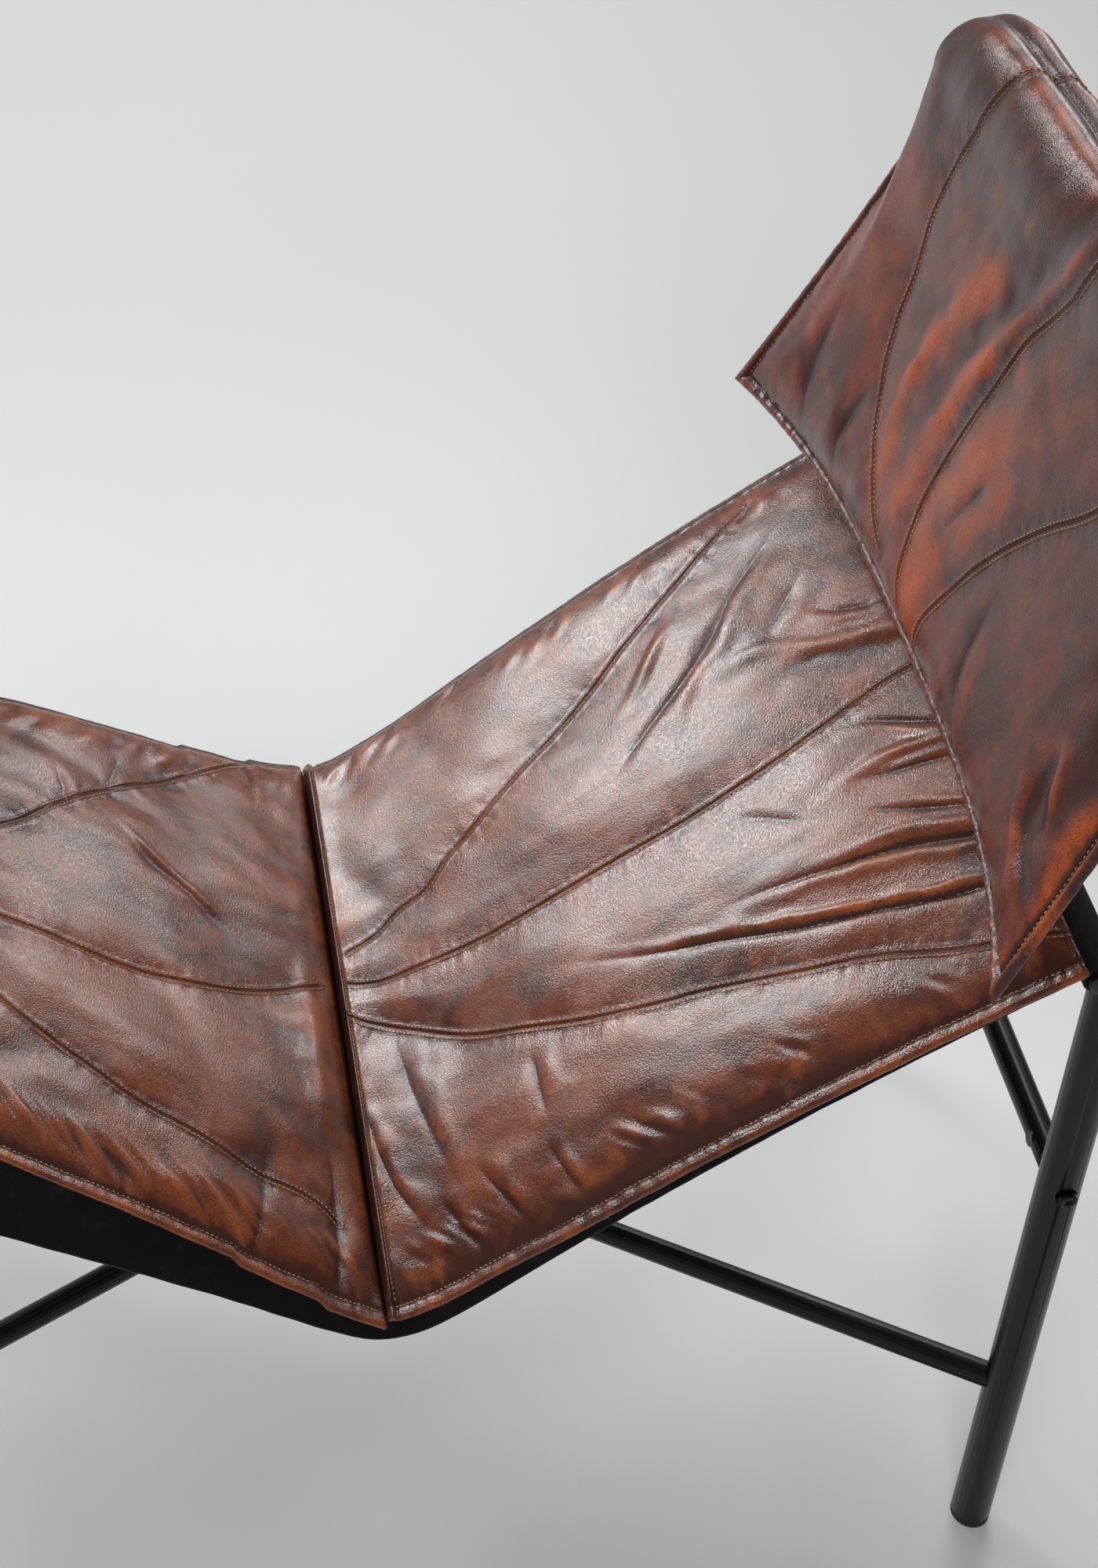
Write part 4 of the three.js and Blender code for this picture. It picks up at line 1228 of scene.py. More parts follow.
    def fold_relief(self) -> Array:
        """Relief of the folds: each a crease that fades at its ends, with a ridge beside it.

        A crease falls off as e to the power of minus its distance in widths, and a ridge as a bell.

        Returns:
            The height at each grid point.
        """
        height = np.zeros(self.u.shape)
        wander = 1 + self.fold_wander * Ripple(self.seed + 50).at(self.u, self.v, self.fold_wave)
        for fold in self.folds:
            depth, width, beside_it, shift = (
                size * MM for size in (fold.height, fold.width, fold.beside, fold.shift)
            )
            line = self.line_of(fold)
            found = distance_to(self.u, self.v, line, 6 * width + abs(shift))
            length = float(np.linalg.norm(np.diff(line, axis=0), axis=1).sum())
            away, offset = found.away * wander, found.offset * wander
            open_one = fold.open_start or fold.open_end
            ease = (self.open_ease_share if open_one else self.fold_ease_share) * length
            fade = smooth_step(0, ease, found.along) if not fold.open_start else 1.0
            if not fold.open_end:
                fade = fade * smooth_step(length, length - ease, found.along)
            fade = fade * (1 + 0.5 * Ripple(self.seed + 51).at(found.along, self.v * 0, 35 * MM))
            ends = bell(np.maximum(0, found.away - np.abs(found.offset)), width)
            crease = depth * (np.exp(-away / width) if depth < 0 else bell(away, width))
            ridge = beside_it * bell(offset - shift, 1.8 * width)
            height += (crease + ridge) * fade * ends
        return height

    def creased(self, relief: Array) -> Array:
        """How deep in a crease each point lies, from 0 to 1."""
        deep = np.clip((blurred(relief, 7) - relief) / self.crease_depth - 0.15, 0, 1)
        return deep * (1 - self.seam_mask)

    def rubbed(self, relief: Array) -> Array:
        """How rubbed the leather is: on the relief's ridges and along the streaks.

        Args:
            relief: Height of the leather at each grid point.

        Returns:
            The wear at each grid point, below 0 in hollows.
        """
        broad = relief - blurred(relief, 10)
        tight = relief - blurred(relief, 3)
        wear = self.rub_broad * broad / MM + self.rub_tight * tight / MM
        for streak in self.rubbings:
            found = distance_to(self.u, self.v, self.line_of(streak), 3 * streak.width)
            wear += streak.wear * bell(found.away, streak.width)
        return wear

    def sample(self, u: Array, v: Array) -> tuple[Array, Array]:
        """Points and normals of the finished surface at places along and across it.

        Args:
            u: Places along the cover.
            v: Places across it.

        Returns:
            The points and the unit normals, one per row.
        """
        row = np.interp(u, self.rows, np.arange(len(self.rows)))
        column = np.interp(v / self.half(u), self.shares, np.arange(len(self.shares)))
        normal = between(grid_normals(self.surface), row, column)
        normal /= np.linalg.norm(normal, axis=1, keepdims=True)
        return between(self.surface, row, column), normal

    def declare(self, cover: Piece) -> None:
        """Attaches the cover to the body that it rides on, hides the imported part in its place, and sews
        it.
        """
        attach(cover, self.body)
        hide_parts(self.name)
        self.finish.slot()
        log.info("%s: %d points", cover.name, len(cover.data.vertices))
        self.stitch()

    def stitch(self) -> Piece:
        """Sews the seams' twin rows and the rim's row with thread, as one piece."""
        stitches = Stitching()
        for seam in self.seams:
            line = self.line_of(seam)
            for side in (-1, 1):
                stitches.run(self, beside(line, side * self.stitch_gap))
        for line in self.rim_lines():
            stitches.run(self, line)
        piece = stitches.make(f"{self.name}_stitching")
        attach(piece, self.body)
        Finish.THREAD.slot()
        log.info("%s: %d stitches", piece.name, stitches.count)
        return piece

    def rim_lines(self) -> list[Array]:
        """Lines of the rim's stitching: near side, far side and across the first end."""
        start, end = self.rows[0] + self.rim_stitch, self.rows[-1] - self.rim_stitch
        along = np.linspace(start, end, 120)
        inset = self.half(along) - self.rim_stitch
        lines = [np.stack([along, side * inset], axis=1) for side in (-1, 1)]
        across = np.linspace(-inset[0], inset[0], 120)
        return [*lines, np.stack([np.full(120, start), across], axis=1)]


def beside(line: Array, offset: float) -> Array:
    """A line moved sideways by an offset."""
    way = np.gradient(line, axis=0)
    way /= np.maximum(np.linalg.norm(way, axis=1, keepdims=True), 1e-12)
    return line + offset * np.stack([-way[:, 1], way[:, 0]], axis=1)


@dataclass
class Stitching:
    """Rows of thread stitches, each a short spindle that dips into the leather at both ends."""

    length: float = 2.7 * MM
    pitch: float = 3.9 * MM
    thickness: float = 0.36 * MM
    lift: float = 0.5 * MM
    sides: int = 6
    rings: int = 5
    starts: list[Array] = field(default_factory=list)
    ends: list[Array] = field(default_factory=list)
    normals: list[Array] = field(default_factory=list)
    count: int = 0

    def run(self, cover: Cover, line: Array) -> None:
        """Adds a row of stitches along a line on a cover.

        Args:
            cover: The cover that is sewn.
            line: Places along and across it, one per row.
        """
        along = lengths_along(line)
        firsts = np.arange(self.pitch, along[-1] - self.pitch, self.pitch)
        ends = []
        for shift in (0, self.length):
            u = np.interp(firsts + shift, along, line[:, 0])
            v = np.interp(firsts + shift, along, line[:, 1])
            inside = np.abs(v) < cover.half(u) - 1 * MM
            inside = inside & (u > cover.rows[0]) & (u < cover.rows[-1])
            ends.append((u, v, inside))
        keep = ends[0][2] & ends[1][2]
        if not keep.any():
            return
        start, normal = cover.sample(ends[0][0][keep], ends[0][1][keep])
        end, _ = cover.sample(ends[1][0][keep], ends[1][1][keep])
        self.starts.append(start)
        self.ends.append(end)
        self.normals.append(normal)
        self.count += int(keep.sum())

    def make(self, name: str) -> Piece:
        """Builds all the stitches as one mesh.

        Along a stitch, t goes from 0 to 1: its middle rises by sin(pi t), and its radius is the
        thread's times the root of sin(pi t), with a little left at the ends.

        Args:
            name: Name of the piece.

        Returns:
            The stitches, as one object.
        """
        start, end = np.vstack(self.starts), np.vstack(self.ends)
        normal = np.vstack(self.normals)
        along = end - start
        side = np.cross(normal, along)
        side /= np.maximum(np.linalg.norm(side, axis=1, keepdims=True), 1e-12)
        share = np.linspace(0, 1, self.rings)
        swell = np.sqrt(np.clip(np.sin(math.pi * share), 0, 1)) * 0.8 + 0.2
        rise = self.lift * np.sin(math.pi * share) - 0.5 * self.thickness * (1 - np.sin(math.pi * share))
        middle = start[:, None] + along[:, None] * share[None, :, None]
        middle = middle + normal[:, None] * rise[None, :, None]
        turn = np.linspace(0, 2 * math.pi, self.sides, endpoint=False)
        circle = (
            side[:, None, None] * np.cos(turn)[None, None, :, None]
            + normal[:, None, None] * np.sin(turn)[None, None, :, None]
        )
        points = middle[:, :, None] + circle * (self.thickness * swell)[None, :, None, None]
        per = self.rings * self.sides
        ring = np.arange(self.rings - 1)[:, None] * self.sides
        spot = np.arange(self.sides)[None, :]
        after = (spot + 1) % self.sides
        above = ring + self.sides
        quads = np.stack([ring + spot, above + spot, above + after, ring + after], axis=2).reshape(-1, 4)
        shift = (np.arange(len(start)) * per)[:, None, None]
        faces = (quads[None] + shift).reshape(-1, 4).tolist()
        first = np.arange(self.sides)
        last = per - 1 - np.arange(self.sides)
        faces += (first[None, :] + shift[:, :, 0]).tolist()
        faces += (last[None, :] + shift[:, :, 0]).tolist()
        return mesh_object(name, points.reshape(-1, 3), faces, Finish.THREAD.material())


@dataclass
class SlingPad(Cover):
    """A pad that lies on the sling."""

    start: float = 0.0
    end: float = 0.0
    half_first: float = 283 * MM
    half_last: float = 283 * MM
    rim_first: float = 23 * MM
    rim_last: float = 9 * MM
    crown: float = 10 * MM
    clearance: float = 0.4 * MM
    flange: float = 10 * MM
    shoulder: float = 48 * MM
    end_flange: float = 3 * MM
    end_shoulder: float = 22 * MM
    belly: float = 30 * MM
    lumps: tuple[tuple[float, float], ...] = ((90 * MM, 2.5 * MM), (42 * MM, 1.2 * MM), (19 * MM, 0.45 * MM))
    rim_pucker: float = 0.9 * MM
    side_pucker: float = 2.8 * MM
    side_waves: tuple[float, float] = (12 * MM, 24 * MM)
    side_wave_at: float = 30 * MM
    side_wave_reach: float = 17 * MM
    fine_pucker: float = 0.35 * MM
    far_droop: float = 0.45
    droop_reach: float = 17 * MM
    drop_reach: float = 4.5 * MM
    welt: float = 0.0
    welt_height: float = 4 * MM

    def share_along(self, u: Array) -> Array:
        """How far along the pad a place is, from 0 to 1."""
        return np.clip((u - self.start) / (self.end - self.start), 0, 1)

    def half(self, u: Array) -> Array:
        """Half the pad's width, changing evenly along it."""
        return self.half_first + (self.half_last - self.half_first) * self.share_along(u)

    def rim_height(self, u: Array) -> Array:
        """Height of the rim above the sling, changing evenly along the pad."""
        return self.rim_first + (self.rim_last - self.rim_first) * self.share_along(u)

    def trace(self, pixels: Pixels) -> Array:
        """Places where pixels of the photograph lie on the pad's crowned upper face."""
        flat = slice(TRACK.flat_from, None)
        lift = self.rim_height(TRACK.s[flat]) + 0.4 * self.crown
        x = TRACK.x[flat] + TRACK.across[flat] * lift
        z = TRACK.z[flat] + TRACK.upward[flat] * lift

        def below(points: Array) -> Array:
            """Whether points are under the pad's upper face."""
            bulge = 0.6 * self.crown * (1 - np.clip(points[:, 1] / self.half_first, -1, 1) ** 2)
            return points[:, 2] < np.interp(points[:, 0], x, z) + bulge

        hits = PHOTO.hits(pixels, below)
        return np.stack([np.interp(hits[:, 0], x, TRACK.s[flat]), hits[:, 1]], axis=1)

    def rise(self) -> Array:
        """How far the padding has risen, from 0 on the flange to 1 inside the shoulder."""
        side = self.half(self.u) - np.abs(self.v)
        share = np.clip((side - self.flange) / (self.shoulder - self.flange), 0, 1)
        risen = 1 - (1 - share) ** 2.4
        for away in (self.u - self.start, self.end - self.u):
            share = np.clip((away - self.end_flange) / (self.end_shoulder - self.end_flange), 0, 1)
            risen = risen * (1 - (1 - share) ** 2)
        return risen

    def relief(self) -> Array:
        """Height of the leather above the rim line.

        It adds up the crown, (0.55 + 0.45 (1 - across^2)) of its height times the rise, the lumps,
        the seams, the folds, the sewn rim, the gathers beside it and the drop at the valley.

        Returns:
            The height at each grid point.
        """
        rise = self.rise()
        across = self.v / self.half(self.u)
        height = self.crown * (0.55 * rise + 0.45 * rise * (1 - across**2))
        for number, (size, amount) in enumerate(self.lumps):
            ripple = Ripple(self.seed + number)
            height += amount * rise * ripple.at(self.v, self.u + 0.3 * self.v, size, 1.7)
        seams, self.seam_mask = self.seam_relief()
        height += seams * (0.25 + 0.75 * rise)
        height += self.fold_relief() * np.clip(0.3 + rise, 0, 1)
        side = self.half(self.u) - np.abs(self.v)
        height -= self.rim_groove * bell(side - self.rim_stitch, self.rim_groove_width)
        droop = self.far_droop * self.rim_height(self.u)
        height -= droop * smooth_step(self.droop_reach, 0, side) * (self.v > 0)
        wave = Ripple(self.seed + 30).at(self.u, side, 7 * MM, 4.0)
        height += self.rim_pucker * wave * np.exp(-np.abs(side - self.flange) / (9 * MM))
        wave = Ripple(self.seed + 31).at(self.u, side, 3.4 * MM, 5.0)
        height += self.fine_pucker * wave * bell(side - self.rim_stitch, 5 * MM)
        near = Ripple(self.seed + 32).at(self.u + 0.9 * side, side, self.side_waves[0], 4.0)
        far = Ripple(self.seed + 33).at(self.u + 0.6 * side, side, self.side_waves[1], 2.0)
        patch = smooth_step(-0.4, 0.3, Ripple(self.seed + 34).at(self.u, side, 55 * MM))
        wave = np.where(self.v < 0, near, far) * patch
        height += self.side_pucker * wave * bell(side - self.side_wave_at, self.side_wave_reach) * rise
        valley = np.minimum(np.abs(self.start), np.abs(self.end))
        away = self.u - self.start if self.welt else self.end - self.u
        drop = (3 + 4 * smooth_step(4 * MM, 40 * MM, side)) * MM * (valley < 10 * MM)
        height -= drop * np.exp(-away / self.drop_reach)
        if self.welt:
            round_top = np.sqrt(np.clip(1 - ((away - 0.55 * self.welt) / (0.5 * self.welt)) ** 2, 0, 1))
            height += self.welt_height * round_top
            height -= 1.2 * MM * bell(away - self.welt - 1 * MM, 2 * MM)
        return height

    def rim_lines(self) -> list[Array]:
        """The rim's stitching along the near side and across the first end, beside the welt if there is one.
        """
        near, _, across = super().rim_lines()
        if self.welt:
            across[:, 0] = self.start + self.welt + 1.5 * MM
        return [near, across]

    def build(self) -> Piece:
        """Builds the pad's closed leather cover and its stitching, and returns the cover."""
        self.lay_grid(self.start, self.end)
        relief = self.relief()
        lift = self.clearance + self.rim_height(self.u) + relief
        self.surface = TRACK.lifted(self.u, self.v + self.waver(), lift)
        sewn = bell(self.seam_offset, self.sewn_width)
        rise = self.settled(np.maximum(smooth_step(0.5, 0.1, self.rise()), sewn))
        relief += rise
        self.surface += grid_normals(self.surface) * rise[:, :, None]
        rings = rolled_rim(self.surface, self.rim_radius, 4)
        row, column = border(*self.u.shape)
        rim = self.rim_height(self.u[row, column])
        for inset, level in ((self.belly * 0.35, 0.35), (self.belly, 0.0)):
            u, v = self.inset(self.u[row, column], self.v[row, column], inset)
            rings.append(TRACK.lifted(u, v, self.clearance + (rim - 2 * self.rim_radius) * level))
        u, v = self.inset(self.u, self.v, self.belly)
        under = TRACK.lifted(u, v, np.full(u.shape, self.clearance))
        points, faces = closed_shell(self.surface, rings, under)
        cover = mesh_object(self.name + "_cover", points, faces, self.finish.material())
        self.dress(cover, relief)
        self.declare(cover)
        return cover

    def inset(self, u: Array, v: Array, amount: float) -> tuple[Array, Array]:
        """Places drawn in evenly from the pad's outline."""
        length = self.end - self.start
        drawn = self.start + amount + (u - self.start) * (length - 2 * amount) / length
        return drawn, v * (1 - amount / self.half(u))

    def dress(self, cover: Piece, relief: Array) -> None:
        """Stores on the cover the wear and the painted shade that the leather's relief gives, and distances.
        """
        side = self.half(self.u) - np.abs(self.v)
        # Painted shade near the seams, along a band inside the rim, in the creases and over the whole under
        # side; the welt strip is darkened the same way.
        shade = np.clip(0.15 * self.seam_mask + 0.6 * bell(side - 13 * MM, 7 * MM), 0, 1)
        shade = np.maximum(shade, 2.5 * self.creased(relief))
        welt = smooth_step(self.welt + 2 * MM, self.welt, self.u - self.start) * (self.welt > 0)
        shade = np.maximum(shade, welt)
        inside = smooth_step(self.welt, self.welt + 8 * MM, self.u - self.start)
        inside = inside * smooth_step(0, 8 * MM, self.end - self.u)
        self.store(cover, {
            "wear": (np.clip(self.rubbed(relief) * inside, -1, 1.4), 0.3),
            "shade": (shade, 1.0),
            **self.seam_values(side),
        }, 4)


def seat_pad() -> SlingPad:
    """The seat pad, from its end turned down over the foot bar to the valley."""
    foot = float(TRACK.s[0])
    bar = float(TRACK.s[TRACK.flat_from])
    return SlingPad(
        name="seat_pad",
        finish=Finish.PAD_LEATHER,
        seed=3,
        start=foot,
        end=-1.0 * MM,
        half_first=211 * MM,
        half_last=279 * MM,
        rim_steps=((308, 1600), (417, 1643)),
        rim_first=15 * MM,
        rim_last=23 * MM,
        end_shoulder=46 * MM,
        lumps=((75 * MM, 3.0 * MM), (38 * MM, 1.3 * MM), (22 * MM, 0.5 * MM)),
        seams=(
            Seam(((0, 1049), (64, 1026), (134, 1007), (198, 998), (255, 987), (316, 975), (392, 962)),
                 before=((foot, 12 * MM), (bar + 30 * MM, 22 * MM))),
            Seam(((0, 1167), (64, 1192), (128, 1218), (191, 1240), (255, 1256), (306, 1262), (351, 1262),
                  (408, 1253)), before=((foot, -10 * MM), (bar + 30 * MM, -8 * MM))),
            Seam(((0, 1277), (57, 1319), (115, 1361), (172, 1403), (230, 1437), (287, 1472), (333, 1502),
                  (364, 1514), (402, 1533), (433, 1560)), before=((foot, -35 * MM),
                  (bar + 30 * MM, -38 * MM))),
        ),
        folds=(
            Fold(((132, 1035), (180, 1085), (229, 1128), (304, 1196)), 1.2, 2.7, -1.2, -7),
            Fold(((312, 955), (318, 1000), (322, 1040)), -2.2, 3.6, 0.9, 7, open_start=True),
            Fold(((322, 1400), (338, 1450), (334, 1503), (330, 1550), (320, 1605)), -1.6, 6, 0.4, 12,
                  open_end=True),
            Fold(((400, 1380), (418, 1480), (430, 1560), (434, 1640)), -3, 7, 1.2, 12, open_end=True),
            Fold(((60, 960), (75, 1000), (85, 1040)), -1.4, 4.5, 0.7, 9),
            Fold(((150, 960), (142, 990), (128, 1010)), -1.2, 4.5, 0.7, 9),
            Fold(((385, 1180), (392, 1300), (408, 1440), (425, 1540)), 2.2, 9.9),
        ),
    )


def back_pad() -> SlingPad:
    """The back pad, from the valley to just short of the sling bar's sleeve."""
    top = float(TRACK.s[-1]) - 6 * MM
    return SlingPad(
        name="back_pad",
        finish=Finish.PAD_LEATHER,
        seed=5,
        start=1.0 * MM,
        end=top,
        end_flange=2 * MM,
        welt=12 * MM,
        lumps=((90 * MM, 2.2 * MM), (42 * MM, 1.0 * MM), (22 * MM, 0.4 * MM)),
        seams=(
            Seam(((446, 1214), (490, 1188), (509, 1159), (548, 1134), (573, 1092), (599, 1064), (637, 1016),
                  (669, 978), (710, 933), (765, 868), (803, 820), (844, 769), (892, 712), (946, 648))),
            Seam(((446, 1253), (494, 1250), (529, 1236), (573, 1217), (621, 1194), (669, 1166), (733, 1127),
                  (796, 1089), (850, 1060), (900, 1030), (980, 979), (1059, 921), (1149, 853)),
                 after=((top, 8 * MM),)),
            Seam(((443, 1290), (494, 1306), (541, 1312), (605, 1317), (669, 1309), (765, 1296), (850, 1277),
                  (900, 1262), (1028, 1237), (1123, 1218), (1241, 1208)), after=((top, -250 * MM),)),
        ),
        folds=(
            Fold(((712, 1228), (761, 1225), (828, 1217), (899, 1203), (962, 1192), (1029, 1181),
                  (1096, 1165), (1163, 1152), (1230, 1136), (1290, 1120)), -3.6, 2.6, 1.9, 6,
                  open_end=True),
            Fold(((900, 1170), (944, 1152), (1006, 1129), (1073, 1107), (1140, 1085), (1180, 1076),
                  (1225, 1069), (1290, 1055)), -3.6, 3.2, 1.4, -6.8, open_end=True),
            Fold(((926, 1042), (975, 1042), (1029, 1047), (1060, 1051)), -1, 4, 0.7, 8),
            Fold(((1085, 1038), (1113, 1033), (1163, 1031), (1221, 1027), (1260, 1024)), -2.4, 2.3, 0.8,
                  5.2, open_end=True),
            Fold(((1073, 928), (1100, 917), (1136, 917), (1180, 917), (1220, 915)), -2.4, 2.6, 1.4, -6.8,
                  open_end=True),
            Fold(((1080, 1000), (1140, 985), (1190, 968), (1240, 958)), -1.8, 3, 0.9, 6, open_end=True),
            Fold(((1020, 1110), (1080, 1092), (1150, 1060), (1240, 1048)), 1.6, 5, open_end=True),
            Fold(((1040, 1030), (1051, 1024), (1118, 971), (1189, 944), (1230, 930)), 2.4, 6.5,
                  open_end=True),
            Fold(((1011, 649), (962, 721), (939, 756), (908, 823), (846, 913), (810, 962), (774, 1029)),
                  -2.8, 5.5, 1.6, 12),
            Fold(((872, 774), (837, 837), (823, 872), (780, 930)), 2, 6.5),
            Fold(((1033, 725), (997, 783), (980, 828)), -2, 5.9, 0.8, 12),
            Fold(((1150, 795), (1127, 801), (1051, 823), (984, 828), (939, 846), (890, 890)), 2.2, 8,
                  -1.2, 15, open_start=True),
            Fold(((1113, 770), (1073, 779), (1024, 774)), -1.6, 3.2, 0.8, 6.8, open_start=True),
            Fold(((681, 1330), (694, 1384), (707, 1433)), -2, 5.2, 0.8, 11.2),
            Fold(((500, 1290), (520, 1360), (560, 1450), (600, 1530)), -1.6, 5.9, 1.1, 12),
            Fold(((465, 1400), (500, 1500), (560, 1580)), -2.4, 4.5, 1.4, 9.8),
            Fold(((610, 1480), (660, 1540), (690, 1575)), -2, 3.9, 1.1, 8.2),
            Fold(((560, 1520), (600, 1575), (625, 1610)), -2, 3.9, 1.1, 8.2),
            Fold(((700, 1450), (730, 1500), (760, 1540)), -1.6, 3.2, 0.9, 7.5),
        ),
    )


@dataclass
class HeadCushion(Cover):
    """The head cushion: a padded flap folded over the head bar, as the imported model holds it."""

    foot_x: float = 470 * MM
    lean: float = 0.065
    bottom: float = 697 * MM
    top: float = 1062 * MM
    half_bottom: float = 320 * MM
    half_top: float = 276 * MM
    droop: float = 66 * MM
    thick_bottom: float = 17 * MM
    thick_top: float = 16 * MM
    rim_thick: float = 6 * MM
    flare_middle: float = 57 * MM
    flare_corner: float = 97 * MM
    back_swell: float = 11 * MM
    tuck: float = 26 * MM
    slot_half: float = 16.5 * MM
    bar_top: float = 1010.6 * MM
    cap_top: float = 1015.8 * MM
    arch: float = 12.5 * MM
    least_top: float = 9 * MM
    leg_outer: float = 240.6 * MM
    leg_inner: float = 210.6 * MM
    leg_shoulder: float = 14 * MM
    flap_bottom: float = 862 * MM
    flap_thick: float = 13 * MM
    rise_width: float = 42 * MM
    pillow: float = 5 * MM
    pleat: float = 9 * MM
    rim_groove: float = 2.2 * MM
    rim_groove_width: float = 2.4 * MM
    rim_groove_at: float = 8 * MM
    rim_ridge: float = 1.4 * MM
    rim_ridge_at: float = 3 * MM
    rim_ridge_width: float = 2.6 * MM
    lumps: tuple[tuple[float, float], ...] = ((85 * MM, 3.0 * MM), (40 * MM, 1.2 * MM), (18 * MM, 0.4 * MM))

    def crest(self, y: Array) -> Array:
        """Height of the cushion's upper fold, which droops towards its sides."""
        return self.top - self.droop * (np.abs(y) / self.half_top) ** 6

    def crown(self, y: Array) -> Array:
        """Height of the fold's under face: on the head bar, then up over the legs' caps."""
        rise = smooth_step(self.leg_inner - self.leg_shoulder, self.leg_inner - 0.6 * MM, np.abs(y))
        seated = self.bar_top + (self.cap_top - self.bar_top) * rise
        return np.minimum(seated, self.crest(y) - self.least_top)

    def lengths(self) -> tuple[float, float, float]:
        """Lengths along the middle of the front, the arch over the bar and the rear flap."""
        foot = float(self.crown(0.0)) - self.arch
        arch = math.pi / 2 * (self.top - foot + self.slot_half) * 0.9
        return foot - self.bottom, arch, foot - self.flap_bottom

    def half(self, u: Array) -> Array:
        """Half the cushion's width, narrowing up the front."""
        share = np.clip(u / self.lengths()[0], 0, 1)
        return self.half_bottom + (self.half_top - self.half_bottom) * share

    def front_inner(self, share: Array, y: Array) -> Array:
        """Offset of the front's inner face from the plane of the rear legs' axes."""
        edge = np.abs(y) / self.half(share * self.lengths()[0])
        flare = self.flare_middle + (self.flare_corner - self.flare_middle) * np.clip(edge, 0, 1.1) ** 3
        tuck = self.tuck * smooth_step(self.leg_outer + 4.8 * MM, self.half_top, np.abs(y))
        return -self.slot_half - flare * np.clip(1 - share, 0, 2) ** 1.5 + tuck * share**2

    def front_outer(self, share: Array, y: Array, rise: Array | float = 1.0) -> Array:
        """Offset of the front's outer face, which swells from its rim."""
        full = self.thick_bottom + (self.thick_top - self.thick_bottom) * share
        return self.front_inner(share, y) - self.rim_thick - (full - self.rim_thick) * rise

    def trace(self, pixels: Pixels) -> Array:
        """Places where pixels of the photograph lie on the cushion's front."""
        front = self.lengths()[0]

        def behind(points: Array) -> Array:
            """Whether points are past the front face."""
            share = np.clip((points[:, 2] - self.bottom) / front, -0.1, 1.15)
            face = self.foot_x - self.lean * points[:, 2] + self.front_outer(share, points[:, 1], 0.9)
            return points[:, 0] > face

        hits = PHOTO.hits(pixels, behind)
        return np.stack([hits[:, 2] - self.bottom, hits[:, 1]], axis=1)

    def rise(self) -> Array:
        """How far the padding has risen from the rim, by the distance to the nearest edge."""
        total = sum(self.lengths())
        risen = np.ones(self.u.shape)
        for away in (self.half(self.u) - np.abs(self.v), self.u, total - self.u):
            share = np.clip((away - 5 * MM) / self.rise_width, 0, 1)
            risen = risen * (1 - (1 - share) ** 2.2)
        return risen

    def base(self, rise: Array) -> tuple[Array, Array]:
        """Outer and inner faces of the cushion before its relief, as grids of points.

        The front leans and flares by (1 - w)^1.5. The arch is half an ellipse from front to
        flap, and the flap hangs straight behind the legs.

        Args:
            rise: How far the padding has risen at each grid point.

        Returns:
            The outer and the inner grid.
        """
        front, arch, flap = self.lengths()
        foot = front + self.bottom
        share = np.clip(self.u / front, 0, 1)
        turn = math.pi * (1 - np.clip((self.u - front) / arch, 0, 1))
        down = np.clip((self.u - front - arch) / flap, 0, 1)
        inner = self.front_inner(share, self.v)
        outer = self.front_outer(share, self.v, rise)
        inner = inner + self.back_swell * rise * (1 - share)
        flap_thick = self.rim_thick + (self.flap_thick - self.rim_thick) * rise
        rear_outer = self.slot_half + flap_thick
        in_arch = (self.u > front) & (down <= 0)
        in_flap = down > 0

        def pick(first: Array, middle: Array, last: Array) -> Array:
            """The front's, the arch's or the flap's value, by place."""
            return np.where(in_flap, last, np.where(in_arch, middle, first))

        middle, reach = (inner + self.slot_half) / 2, (self.slot_half - inner) / 2
        rounded = np.sign(np.cos(turn)) * np.sqrt(np.abs(np.cos(turn)))
        hang = foot - down * flap
        level = self.bottom + share * front
        faces = []
        for offset, height in (
            (pick(outer, (outer + rear_outer) / 2 + (rear_outer - outer) / 2 * np.cos(turn), rear_outer),
             pick(level, foot + (self.crest(self.v) - foot) * np.sin(turn), hang)),
            (pick(inner, middle + reach * rounded, np.full(self.u.shape, self.slot_half)),
             pick(level, foot + (self.crown(self.v) - foot) * np.sqrt(np.abs(np.sin(turn))), hang)),
        ):
            faces.append(np.stack([self.foot_x - self.lean * height + offset, self.v, height], axis=2))
        return faces[0], faces[1]

    def relief(self, rise: Array) -> Array:
        """Height of the leather's relief off the plain cushion.

        Args:
            rise: How far the padding has risen at each grid point.

        Returns:
            The height at each grid point.
        """
        front, arch, _ = self.lengths()
        across = self.v / self.half(self.u)
        height = self.pillow * rise * (1 - across**2) * smooth_step(1.1, 0.7, self.u / front)
        for number, (size, amount) in enumerate(self.lumps):
            ripple = Ripple(self.seed + number)
            height += amount * rise * ripple.at(self.v + 0.4 * self.u, self.u, size, 1.5)
        seams, self.seam_mask = self.seam_relief()
        height += seams * (0.3 + 0.7 * rise)
        height += self.fold_relief() * np.clip(0.3 + rise, 0, 1)
        pleat = bell(self.u - front - 0.47 * arch, 9 * MM)
        height -= self.pleat * pleat * smooth_step(self.half_top, 0.55 * self.half_top, np.abs(self.v))
        side = self.half(self.u) - np.abs(self.v)
        edge = np.minimum(np.minimum(side, self.u), sum(self.lengths()) - self.u)
        along = np.where(self.u < side, self.v, self.u)
        height -= self.rim_groove * bell(edge - self.rim_groove_at, self.rim_groove_width)
        height += self.rim_ridge * bell(edge - self.rim_ridge_at, self.rim_ridge_width)
        wave = Ripple(self.seed + 30).at(along, edge, 3.2 * MM, 6.0)
        height += 0.45 * MM * wave * smooth_step(9 * MM, 5 * MM, edge)
        wave = Ripple(self.seed + 31).at(along, edge, 9 * MM, 4.0)
        height += 1.0 * MM * wave * np.exp(-np.abs(edge - 9 * MM) / (12 * MM))
        return height

